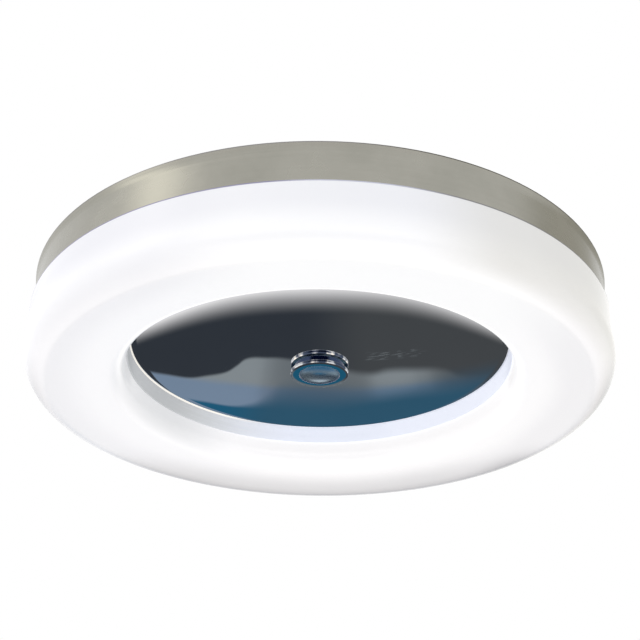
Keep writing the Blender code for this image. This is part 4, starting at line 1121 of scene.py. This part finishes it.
    def make_camera(self, sizes):
        data = bpy.data.cameras.new("camera")
        data.sensor_width = 36.0
        data.lens = sizes.camera_lens
        camera = in_scene("camera", data)
        forward = Vector((0.0, *polar(1.0, sizes.camera_tilt)))
        aim = forward.to_track_quat("-Z", "Y").to_matrix().to_4x4()
        aim = aim @ Matrix.Rotation(-sizes.camera_dip, 4, "X")
        aim = aim @ Matrix.Rotation(sizes.camera_roll, 4, "Z")
        camera.matrix_world = Matrix.Translation(-forward * sizes.camera_distance) @ aim
        bpy.context.scene.camera = camera


class AddLens(bpy.types.Operator):
    """Make the opal ring lens."""

    bl_idname = "ceiling_light.add_lens"
    bl_label = "Ring lens"
    bl_options = {"REGISTER", "UNDO"}

    def execute(self, context):
        sizes = settings("lens")
        flange_radius, radius, bottom, neck_top = span("ring_lens")
        inner_radius = span("dish_collar")[1] + CLEARANCE
        wall, edge = sizes.wall, sizes.edge
        outer, inner = sizes.outer_rounding, sizes.inner_rounding
        run = radius - outer - inner_radius - inner
        rise = sizes.bottom_rise - outer + inner
        tilt = math.atan2(rise, run) + math.asin((outer - inner) / math.hypot(run, rise))
        low_radius = radius - outer - outer * math.sin(tilt)
        low_height = bottom + outer - outer * math.cos(tilt)

        def face(at, inset=0.0):
            """Height of the tilted bottom face, or of its inside at the depth of the wall."""
            return low_height + (low_radius - at) * math.tan(tilt) + inset / math.cos(tilt)

        under, top = sizes.flange_underside, sizes.flange_underside + wall
        neck, shoulder = sizes.neck_radius, sizes.shoulder
        channel_inner, channel_outer = inner_radius + wall, radius - wall
        outline = [
            (neck, neck_top, edge),
            (neck, shoulder, edge / 2),
            (radius, shoulder, edge),
            (radius, face(radius), outer),
            (inner_radius, face(inner_radius), inner),
            (inner_radius, under, edge),
            (flange_radius, under, edge),
            (flange_radius, top, edge),
            (channel_inner, top, edge),
            (channel_inner, face(channel_inner, wall), inner - wall),
            (channel_outer, face(channel_outer, wall), outer - wall),
            (channel_outer, shoulder - wall, edge),
            (neck - wall, shoulder - wall, edge / 2),
            (neck - wall, neck_top, edge),
        ]
        lens = piece("opal_ring_lens", turned(outline, ROUND_STEPS), "opal_acrylic", "ring_lens")
        lens.visible_glossy = False
        return {"FINISHED"}


class AddBand(bpy.types.Operator):
    """Make the brushed nickel band with its flared top edge."""

    bl_idname = "ceiling_light.add_band"
    bl_label = "Trim band"
    bl_options = {"REGISTER", "UNDO"}

    def execute(self, context):
        sizes = settings("band")
        inner, flared, low, high = span("trim_band")
        bent = high - sizes.flare_height
        radius = flared - sizes.flare_width
        flare_rounding = 0.01
        outline = [
            (flared, high, sizes.edge),
            (radius, bent, flare_rounding),
            (radius, low, sizes.edge),
            (inner, low, sizes.edge),
            (inner, bent, flare_rounding),
            (inner + sizes.flare_width, high, sizes.edge),
        ]
        piece("nickel_band", turned(outline, ROUND_STEPS), "brushed_nickel", "trim_band")
        return {"FINISHED"}


class AddDish(bpy.types.Operator):
    """Make the mirror dish, its satin collar and the ring that clamps them to the lens."""

    bl_idname = "ceiling_light.add_dish"
    bl_label = "Dish and collar"
    bl_options = {"REGISTER", "UNDO"}

    def execute(self, context):
        sizes = settings("dish")
        self.make_dish(sizes)
        self.make_collar(sizes)
        clamp = ring("lens_retainer", ROUND_STEPS, SOFT, FINE, FINE, SOFT)
        piece("clamping_ring", clamp, "zinc_plate", "lens_retainer")
        add_fixings("ring_fixing", "retainer_screw", 6, flipped=True)
        return {"FINISHED"}

    def make_dish(self, sizes):
        _, radius, _, rim_top = span("chrome_dish")
        dome, flat, sheet, edge = radius - sizes.rim_width, sizes.flat_radius, sizes.sheet, sizes.edge
        steps = 30
        upper = []
        for step in range(steps + 1):
            reach = dome + (flat - dome) * step / steps
            drop = sizes.dome_depth * (dome**2 - reach**2) / (dome**2 - flat**2)
            upper.append((reach, rim_top - drop))
        middle = rim_top - sizes.dome_depth
        outline = [(radius, rim_top - sheet, edge)]
        outline += [(reach, height - sheet) for reach, height in upper]
        outline += [(sizes.hole_radius, middle - sheet, edge), (sizes.hole_radius, middle, edge)]
        outline += upper[::-1] + [(radius, rim_top, edge)]
        dish = turned(outline, ROUND_STEPS + 32)
        piece("mirror_dish", dish, "chrome", "chrome_dish", even_normals=False)

    def make_collar(self, sizes):
        flange_radius, radius, low, top = span("dish_collar")
        sheet, edge = sizes.collar_sheet, sizes.edge
        outline = [
            (radius, top, sheet * 1.1),
            (radius, low, edge),
            (radius - sheet, low, edge),
            (radius - sheet, top - sheet, edge),
            (flange_radius, top - sheet, edge),
            (flange_radius, top, edge),
        ]
        collar = turned(outline, ROUND_STEPS)
        piece("satin_collar", collar, "satin_aluminium", "dish_collar").visible_glossy = False


class AddFinial(bpy.types.Operator):
    """Make the finial: seat ring, knob, polished button, washer and threaded insert."""

    bl_idname = "ceiling_light.add_finial"
    bl_label = "Finial"
    bl_options = {"REGISTER", "UNDO"}

    def execute(self, context):
        sizes = settings("finial")
        seat = ring("finial_seat_ring", FINIAL_STEPS, sizes.edge, sizes.edge, FINE, FINE)
        washer = ring("finial_washer", WASHER_STEPS, FINE, FINE, FINE, FINE)
        for made in (
            piece("seat_rim", seat, "chrome_rim", "finial_seat_ring", slot="chrome"),
            self.make_knob(sizes),
            self.make_button(sizes),
            piece("fibre_washer", washer, "fibre", "finial_washer"),
            self.make_insert(),
        ):
            made.visible_glossy = False
        return {"FINISHED"}

    def make_knob(self, sizes):
        _, radius, seat_low, _ = span("finial_seat_ring")
        _, _, face, top = span("finial_knob")
        insert = span("finial_insert")[1] + CLEARANCE
        rim_top = face + sizes.rim_height
        neck_top = seat_low - CLEARANCE
        recess_top = face + sizes.recess_depth
        bore_end = recess_top + sizes.web
        neck, boss, recess, edge = (
            sizes.neck_radius, sizes.boss_radius, sizes.recess_radius, sizes.edge
        )
        outline = [
            (0.0, bore_end),
            (insert, bore_end, 0.0001),
            (insert, top, SOFT),
            (boss, top, SOFT),
            (boss, neck_top, FINE),
            (neck, neck_top, SOFT),
            (neck, rim_top, 0.0004),
            (radius, rim_top, edge),
            (radius, face, edge),
            (recess, face, FINE),
            (recess, recess_top, FINE),
            (0.0, recess_top),
        ]
        knob = turned(outline, FINIAL_STEPS, closed=False)
        # Painted shade: the groove and the recess wall take the darkened chrome.
        paint(
            knob, 1, lambda reach, height:
            rim_top - 0.0001 < height < neck_top + 0.0001 and boss + 0.001 < reach < neck + 0.0006
            or face + 0.00002 < height < recess_top and reach < recess + 0.0003,
        )
        # The rims' sides take the chrome with painted reflections.
        paint(
            knob, 2, lambda reach, height: face + 0.00001 < height < rim_top and reach > radius - edge
        )
        return piece("turned_knob", knob, ["chrome", "chrome_painted_shade", "chrome_rim"], "finial_knob")

    def make_button(self, sizes):
        _, radius, low, high = span("finial_button")
        outline = [(0.0, high), (radius, high, 0.0002), (radius, low, 0.0003)]
        steps = 10
        for step in range(1, steps + 1):
            share = 1 - step / steps
            hollow = sizes.button_hollow * (1 - share**2)
            outline.append((radius * 0.96 * share, low + hollow))
        button = turned(outline, FINIAL_STEPS, closed=False)
        # Painted shade on the button's edge.
        paint(button, 1, lambda reach, height: reach > radius * 0.965)
        looks = ["chrome_button", "chrome_painted_shade"]
        return piece("polished_button", button, looks, "finial_button", slot="chrome")

    def make_insert(self):
        bore, radius, low, top = span("finial_insert")
        outline = [(radius, top, FINE), (radius, low, FINE), (bore, low)]
        turns = 6
        for groove in range(turns):
            height = low + (top - low) * (groove + 0.5) / turns
            outline += [(bore + 0.0003, height), (bore, low + (top - low) * (groove + 1) / turns)]
        return piece("threaded_insert", turned(outline, WASHER_STEPS), "brass", "finial_insert")


class AddPan(bpy.types.Operator):
    """Make the enamelled pan with its bends, bead and holes, and the foam gasket on it."""

    bl_idname = "ceiling_light.add_pan"
    bl_label = "Pan and gasket"
    bl_options = {"REGISTER", "UNDO"}

    def execute(self, context):
        self.make_pan(settings("ceiling_side"))
        edge = 0.0007
        foam = ring("ceiling_gasket", ROUND_STEPS, edge, edge / 2, edge / 2, edge)
        gasket = piece("foam_gasket", foam, "foam", "ceiling_gasket")
        return {"FINISHED"}

    def make_pan(self, sizes):
        stud_hole, radius, low, top = span("pan")
        sheet, outside = sizes.pan_sheet, sizes.bend
        inside = outside - sheet
        recess = 0.062
        floor_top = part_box("pan_washer")[1].z + CLEARANCE + sheet
        under, floor_under = top - sheet, floor_top - sheet
        half, slant, soft = sizes.bead_width / 2, 0.001, 0.0012
        bead = (
            (sizes.bead_radius + half + slant, 0.0),
            (sizes.bead_radius + half - slant / 2, sizes.bead_height),
            (sizes.bead_radius - half + slant / 2, sizes.bead_height),
            (sizes.bead_radius - half - slant, 0.0),
        )
        outline = [
            (radius, top, outside),
            (radius, low, SOFT),
            (radius - sheet, low, SOFT),
            (radius - sheet, under, inside),
            *((reach, under + rise, soft) for reach, rise in bead),
            (recess + sheet, under, inside),
            (recess + sheet, floor_under, outside),
            (stud_hole, floor_under, FINE),
            (stud_hole, floor_top, FINE),
            (recess, floor_top, inside),
            (recess, top, outside),
            *((reach, top + rise, soft) for reach, rise in reversed(bead)),
        ]
        pan = turned(outline, ROUND_STEPS)
        place = middle_of("lead_grommet")
        grommet_hole, below, above = 0.0062, 0.004, 0.003
        holes = rod(grommet_hole, floor_top - below, floor_top + above, (place.x, place.y))
        for node in [f"board_screw_{n}" for n in range(1, 9)] + ["driver_screw_1", "driver_screw_2"]:
            place = middle_of(node)
            join(holes, rod(SCREW_HOLE, top - below, top + above, (place.x, place.y), 20))
        piece("enamelled_pan", cut(pan, holes), "white_enamel", "pan")


class AddHangers(bpy.types.Operator):
    """Make the ceiling strap, the threaded stud, its nuts and washer, and the earth terminal."""

    bl_idname = "ceiling_light.add_hangers"
    bl_label = "Strap and stud"
    bl_options = {"REGISTER", "UNDO"}

    def execute(self, context):
        sizes = settings("ceiling_side")
        self.make_strap()
        _, radius, low, top = span("centre_stud")
        stud = threaded(radius, sizes.thread_pitch, top, low, 28)
        piece("threaded_stud", stud, "zinc_plate", "centre_stud")
        for name, node in (("upper_nut", "strap_nut"), ("lower_nut", "pan_nut")):
            bore, _, low, top = span(node)
            piece(name, hexagon_nut(sizes.nut_width, bore, low, top), "zinc_plate", node)
        washer = ring("pan_washer", WASHER_STEPS, SOFT, FINE, FINE, SOFT)
        piece("flat_washer", washer, "zinc_plate", "pan_washer")
        self.make_earth()
        return {"FINISHED"}

    def make_strap(self):
        low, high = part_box("ceiling_strap")
        earth = middle_of("earth_screw")
        corner, spare_hole = 0.004, 0.0022
        half_length, half_width, slot_corner, slot_middle = 0.0072, 0.0024, 0.00239, 0.0396875
        outlines = [
            rounded_rectangle(high.x, high.y, corner),
            circle(span("strap_nut")[0], steps=40),
            circle(EARTH_HOLE, (earth.x, earth.y)),
            circle(spare_hole, (-earth.x, earth.y)),
        ]
        for side in (-1, 1):
            slot = half_length, half_width, slot_corner
            outlines.append(rounded_rectangle(*slot, (side * slot_middle, 0.0)))
        strap = plate(outlines, high.z - low.z, high.z, SOFT)
        piece("pressed_strap", strap, "zinc_plate", "ceiling_strap")

    def make_earth(self):
        low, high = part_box("earth_screw")
        x, y, _ = (low + high) / 2
        radius, pitch, head_radius, head = 0.0021, 0.0008, 0.0042, 0.0026
        screw = pan_head_screw(radius, pitch, head_radius, head, high.z - low.z - head)
        piece("earth_fixing", moved_to(screw, x, y, low.z + head), "green_screw", "earth_screw")
        low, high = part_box("earth_ring")
        eye_radius, tab, tab_length = 0.0045, 0.0018, 0.003
        radius, bore, barrel_length, barrel_inset = 0.0017, 0.001, 0.005, 0.0045
        opening = math.asin(tab / eye_radius)
        start, end = QUARTER_TURN + opening, QUARTER_TURN - opening + FULL_TURN
        eye = arc((x, y), eye_radius, start, end, 36)
        eye += [(x + tab, high.y - tab_length), (x - tab, high.y - tab_length)]
        terminal = plate([eye, circle(EARTH_HOLE, (x, y))], high.z - low.z, high.z, THIN_EDGE)
        outline = [(radius, 0.0, SOFT), (radius, barrel_length, SOFT)]
        outline += [(bore, barrel_length), (bore, 0.0)]
        barrel = move(turned(outline, SMALL_STEPS), Matrix.Rotation(-QUARTER_TURN, 4, "X"))
        join(terminal, moved_to(barrel, x, high.y - barrel_inset, high.z - radius))
        piece("ring_terminal", terminal, "brass", "earth_ring")


class AddTerminals(bpy.types.Operator):
    """Make the terminal block with its screws, the grommet and the leads in the recess."""

    bl_idname = "ceiling_light.add_terminals"
    bl_label = "Terminals and supply leads"
    bl_options = {"REGISTER", "UNDO"}

    def execute(self, context):
        self.make_block()
        self.make_grommet()
        self.make_leads(settings("wiring").lead_radius)
        return {"FINISHED"}

    def make_block(self):
        low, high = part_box("terminal_block")
        middle = (low + high) / 2
        pitch = (high.x - low.x) / 3
        well, well_depth, groove, depth = 0.0022, 0.003, 0.0005, 0.0016
        throat, mouth_radius, funnel_depth, over = 0.0016, 0.0021, 0.0022, 0.0004
        cutters = []
        for number in range(3):
            x = low.x + (number + 0.5) * pitch
            cutters.append(rod(well, high.z - well_depth, high.z + CUT_OVERRUN, (x, middle.y)))
            for side in (-1, 1):
                funnel = rod(throat, -funnel_depth, over, steps=24, tip_radius=mouth_radius)
                aim = Matrix.Rotation(-side * QUARTER_TURN, 4, "X")
                mouth = (x, middle.y + side * (high.y - low.y) / 2, middle.z)
                cutters.append(move(funnel, Matrix.Translation(mouth) @ aim))
        for number in (1, 2):
            x = low.x + number * pitch
            start = (x - groove, low.y - 0.001, high.z - depth)
            cutters.append(block(start, (x + groove, high.y + 0.001, high.z + 0.001)))
        body = cut(block(low, high, MOULDED), *cutters)
        piece("terminal_body", body, "connector_white", "terminal_block")
        half_length, half_width, slot_depth = 0.003, 0.00035, 0.0008
        for number in range(1, 4):
            node = f"terminal_screw_{number}"
            x, y, _ = middle_of(node)
            _, radius, low, high = span(node, (x, y))
            outline = [(0.0, high), (radius, high, SOFT), (radius, low, FINE), (0.0, low)]
            low_corner = (-half_length, -half_width, high - slot_depth)
            slot = block(low_corner, (half_length, half_width, high + 0.001))
            move(slot, Matrix.Rotation(0.5 + 0.7 * number, 4, "Z"))  # each is turned its own way
            screw = cut(turned(outline, 28, closed=False), slot)
            piece(f"clamp_screw_{number}", moved_to(screw, x, y), "brass", node)

    def make_grommet(self):
        x, y, _ = middle_of("lead_grommet")
        bore, radius, low, top = span("lead_grommet", (x, y))
        sheet_and_gap, groove, lip = 0.0013, 0.0059, 0.0005
        floor_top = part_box("pan_washer")[1].z + sheet_and_gap
        upper, lower = floor_top + CLEARANCE, floor_top - sheet_and_gap
        outline = [
            (radius, top, lip), (radius, upper, SOFT), (groove, upper), (groove, lower),
            (radius, lower, SOFT), (radius, low, lip), (bore, low, lip), (bore, top, lip),
        ]
        piece("rubber_grommet", turned(outline, 48, middle=(x, y)), "rubber", "lead_grommet")

    def make_leads(self, radius):
        low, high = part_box("terminal_block")
        line, height = (low.y + high.y) / 2, (low.z + high.z) / 2
        grommet = middle_of("lead_grommet")
        entry_height = (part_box("driver_case")[1].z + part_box("driver_cover")[0].z) / 2
        down, over_grommet, under_grommet, earth_level = (0, 0, -1), -0.0128, -0.0187, -0.0036
        over_reach, through_reach, under_reach, reach_apart = 0.014, 0.0015, 0.028, 0.00468
        earth_reach = 0.011
        for side, name, node, tone in (
            (-1, "live_wire", "live_lead", "lead_black"),
            (1, "neutral_wire", "neutral_lead", "lead_white"),
        ):
            apart = side * LEAD_SPACING
            above = (grommet.x, line + apart, over_grommet)
            below = (grommet.x, line + apart, under_grommet)
            end = (DRIVER_ENTRY[0], DRIVER_ENTRY[1] - apart, entry_height)
            route = [
                bend((high.x + CLEARANCE, line + apart, height), (1, 0, 0), above, down, over_reach),
                bend(above, down, below, down, through_reach),
                bend(below, down, end, (-1, 0, 0), under_reach - side * reach_apart),
            ]
            piece(name, tube(route, radius), tone, node)
        start = (middle_of("earth_screw").x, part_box("earth_ring")[1].y + CLEARANCE, earth_level)
        end = (low.x - CLEARANCE, line, height)
        route = bend(start, (0, 1, 0), end, (1, 0, 0), earth_reach)
        piece("earth_wire", tube([route], radius), "lead_green", "earth_lead")


class AddBoards(bpy.types.Operator):
    """Make the curved boards, their diodes, connectors and screws, and what links them."""

    bl_idname = "ceiling_light.add_boards"
    bl_label = "Boards"
    bl_options = {"REGISTER", "UNDO"}

    def execute(self, context):
        sizes = settings("wiring")
        top, thickness, end_gap = -0.0038, 0.0015, 0.004
        underside = top - thickness
        half = math.pi / 4 - end_gap / sizes.board_radius
        for number in range(1, 5):
            middle = (2 * number - 1) * math.pi / 4
            self.make_board(sizes, number, middle, half, top, underside)
            self.make_diodes(sizes, number, middle, half, underside)
            self.make_connectors(sizes, number, middle, half, underside)
        add_fixings("board_fixing", "board_screw", 8)
        for number, angle in ((1, QUARTER_TURN), (2, 3 * QUARTER_TURN), (3, FULL_TURN)):
            self.make_link(sizes, number, angle)
        return {"FINISHED"}

    def make_board(self, sizes, number, middle, half, top, underside):
        radius, half_width, corner, screw_inset = sizes.board_radius, 0.013, 0.0012, 0.0205
        inner, outer = radius - half_width, radius + half_width
        first, last = middle - half, middle + half
        trim = corner / radius
        outline = arc(ORIGIN, outer, first + trim, last - trim, 40)
        outline += [polar(outer - corner, last), polar(inner + corner, last)]
        outline += arc(ORIGIN, inner, last - trim, first + trim, 40)
        outline += [polar(inner + corner, first), polar(outer - corner, first)]
        screw = half - screw_inset / radius
        holes = [circle(SCREW_HOLE, polar(radius, middle + side * screw), 20) for side in (-1, 1)]
        board = plate([outline] + holes, top - underside, top, THIN_EDGE)
        piece(f"board_plate_{number}", board, "board_white", f"led_board_{number}")

    def on_board(self, sizes, angle, underside, aside=0.0):
        """Turns and moves a shape to its place under a board."""
        place = Matrix.Translation((sizes.board_radius + aside, 0.0, underside))
        return Matrix.Rotation(angle, 4, "Z") @ place

    def make_diodes(self, sizes, number, middle, half, underside):
        wide, long = sizes.diode_width / 2, sizes.diode_length / 2
        diode = block((-wide, -long, -sizes.diode_height), (wide, long, 0.0), 0.0001, 1)
        face = min(diode.faces, key=lambda item: item.calc_center_median().z)
        bmesh.ops.inset_region(diode, faces=[face], thickness=0.0005, depth=0.0)
        bmesh.ops.inset_region(diode, faces=[face], thickness=0.0001, depth=-0.0002)
        face.material_index = 1
        mesh = bmesh.new()
        inset, row_distance, count = 0.0135, 0.007, 8
        reach = half - inset / sizes.board_radius
        for aside in (-row_distance, row_distance):
            for place in range(count):
                angle = middle + (2 * place / (count - 1) - 1) * reach
                join(mesh, move(diode.copy(), self.on_board(sizes, angle, underside, aside)))
        diode.free()
        looks = ["diode_package", "diode_face"]
        piece(f"diodes_{number}", mesh, looks, slot="diode_yellow", body="root")

    def make_connectors(self, sizes, number, middle, half, underside):
        shell = block((-0.004, -0.0045, -0.005), (0.004, 0.0045, 0.0), 0.0004)
        mouth = block((-0.0028, 0.0030, -0.0040), (0.0028, 0.0055, -0.0012), 0.0002, 1)
        groove = block((-0.0050, -0.0012, -0.0060), (0.0050, -0.0004, -0.0044))
        shell = cut(shell, mouth, groove)
        mesh = bmesh.new()
        inset = 0.0085
        reach = half - inset / sizes.board_radius
        for side in (-1, 1):
            face_out = Matrix.Rotation(0.0 if side > 0 else math.pi, 4, "Z")
            spot = self.on_board(sizes, middle + side * reach, underside)
            join(mesh, move(shell.copy(), spot @ face_out))
        shell.free()
        piece(f"board_sockets_{number}", mesh, "connector_white", body="root")

    def make_link(self, sizes, number, angle):
        half_length, droop, half_spacing = 0.0074, 0.0012, 0.0007
        reach = half_length / sizes.board_radius
        start, end = (
            Vector((*polar(sizes.board_radius, angle + side * reach), LEAD_LEVEL)) for side in (-1, 1)
        )
        along = (end - start) / 3
        drop = Vector((0.0, 0.0, -droop * 4 / 3))
        across = Vector((*polar(half_spacing, angle), 0.0))
        mesh = bmesh.new()
        for side in (-1, 1):
            route = [start, start + along + drop, end - along + drop, end]
            route = [point + across * side for point in route]
            join(mesh, tube([route], sizes.link_radius / 2))
        piece(f"link_wire_{number}", mesh, "lead_white", f"board_link_{number}")


class AddDriver(bpy.types.Operator):
    """Make the driver's case, cover and screws, dress what is inside, and lead it to the boards."""

    bl_idname = "ceiling_light.add_driver"
    bl_label = "Driver and output leads"
    bl_options = {"REGISTER", "UNDO"}

    def execute(self, context):
        self.make_shell()
        self.make_lid()
        add_fixings("driver_fixing", "driver_screw", 2)
        for node, look_name in (
            ("driver_circuit", "circuit_green"),
            ("driver_transformer", "ferrite"),
            ("driver_capacitor_1", "capacitor_sleeve"),
            ("driver_capacitor_2", "capacitor_sleeve"),
        ):
            for material_slot in frame["nodes"][node].material_slots:
                material_slot.material = look(look_name)
        self.make_output_leads(settings("wiring"))
        return {"FINISHED"}

    def make_shell(self):
        low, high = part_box("driver_case")
        _, cover_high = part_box("driver_cover")
        half, wall, rounding = cover_high.x, 0.0015, 0.0012
        ear_half, ear_sheet, ear_rounding = 0.006, 0.002, 0.0005
        shell = block((-half, low.y, low.z), (half, cover_high.y, high.z), rounding)
        room_low = (-half + wall, low.y + wall, low.z - CUT_OVERRUN)
        shell = cut(shell, block(room_low, (half - wall, high.y - wall, high.z - wall)))
        for number, side in enumerate((-1, 1), start=1):
            x, y, _ = middle_of(f"driver_screw_{number}")
            near, far = sorted((side * (half - wall / 2), side * high.x))
            low_corner = (near, y - ear_half, high.z - ear_sheet)
            ear = block(low_corner, (far, y + ear_half, high.z), ear_rounding)
            hole = rod(SCREW_HOLE, high.z - 2 * ear_sheet, high.z + CUT_OVERRUN, (x, y), 24)
            join(shell, cut(ear, hole))
        piece("driver_shell_top", shell, "driver_shell", "driver_case")

    def make_lid(self):
        low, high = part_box("driver_cover")
        middle = (low + high) / 2
        apart, half_width, half_length, depth = 0.006, 0.0007, 0.009, 0.0005
        vents = []
        for number in range(-3, 4):
            x = number * apart
            start = (x - half_width, middle.y - half_length, low.z - 0.001)
            end = (x + half_width, middle.y + half_length, low.z + depth)
            vents.append(block(start, end, FINE, 1))
        piece("driver_lid", cut(block(low, high, MOULDED), *vents), "driver_shell", "driver_cover")

    def make_output_leads(self, sizes):
        inset, gap, aside, driver_half = 0.008, 0.0006, 0.019, 0.052
        first_share, last_reach = 0.4, 0.006
        entry = math.pi - inset / sizes.board_radius
        arriving = Vector((math.sin(entry), -math.cos(entry), 0.0))
        left = (-1, 0, 0)
        for side, name, node, tone in (
            (-1, "negative_wire", "output_lead_negative", "lead_black"),
            (1, "positive_wire", "output_lead_positive", "lead_red"),
        ):
            apart = side * LEAD_SPACING
            start = (-DRIVER_ENTRY[0], DRIVER_ENTRY[1] - apart, LEAD_LEVEL)
            end = Vector((*polar(sizes.board_radius + apart, entry), LEAD_LEVEL)) - arriving * gap
            corner = (aside - sizes.board_radius, (1 - 2 * side) * sizes.lead_radius, LEAD_LEVEL)
            reach = first_share * (sizes.board_radius - driver_half)
            first = bend(start, left, corner, left, reach)
            last = bend(corner, left, end, arriving, last_reach)
            piece(name, tube([first, last], sizes.lead_radius), tone, node)


class CeilingLightPanel(bpy.types.Panel):
    """The steps that build the ceiling light, and the sizes and colours that they use."""

    bl_idname = "VIEW3D_PT_ceiling_light"
    bl_label = "Ceiling Light"
    bl_space_type = "VIEW_3D"
    bl_region_type = "UI"
    bl_category = "Ceiling Light"

    def draw(self, context):
        for operator in OPERATORS:
            self.layout.operator(operator.bl_idname)
        for name in SETTINGS:
            held = settings(name)
            box = self.layout.box()
            box.label(text=name.replace("_", " ").capitalize())
            for key in held.__annotations__:
                box.prop(held, key)


OPERATORS = [
    AddStage, AddLens, AddBand, AddDish, AddFinial, AddPan, AddHangers, AddTerminals, AddBoards,
    AddDriver,
]
CLASSES = [*SETTINGS.values(), *OPERATORS, CeilingLightPanel]


def register():
    for item in CLASSES:
        bpy.utils.register_class(item)
    for name, kind in SETTINGS.items():
        setattr(bpy.types.Scene, "ceiling_light_" + name, PointerProperty(type=kind))


def unregister():
    for name in SETTINGS:
        delattr(bpy.types.Scene, "ceiling_light_" + name)
    for item in reversed(CLASSES):
        bpy.utils.unregister_class(item)


def main():
    register()
    make_turned_lines()
    make_fine_pores()
    make_mottle()
    bpy.ops.ceiling_light.add_stage()
    bpy.ops.ceiling_light.add_lens()
    bpy.ops.ceiling_light.add_band()
    bpy.ops.ceiling_light.add_dish()
    bpy.ops.ceiling_light.add_finial()
    bpy.ops.ceiling_light.add_pan()
    bpy.ops.ceiling_light.add_hangers()
    bpy.ops.ceiling_light.add_terminals()
    bpy.ops.ceiling_light.add_boards()
    bpy.ops.ceiling_light.add_driver()


if __name__ == "__main__":
    main()
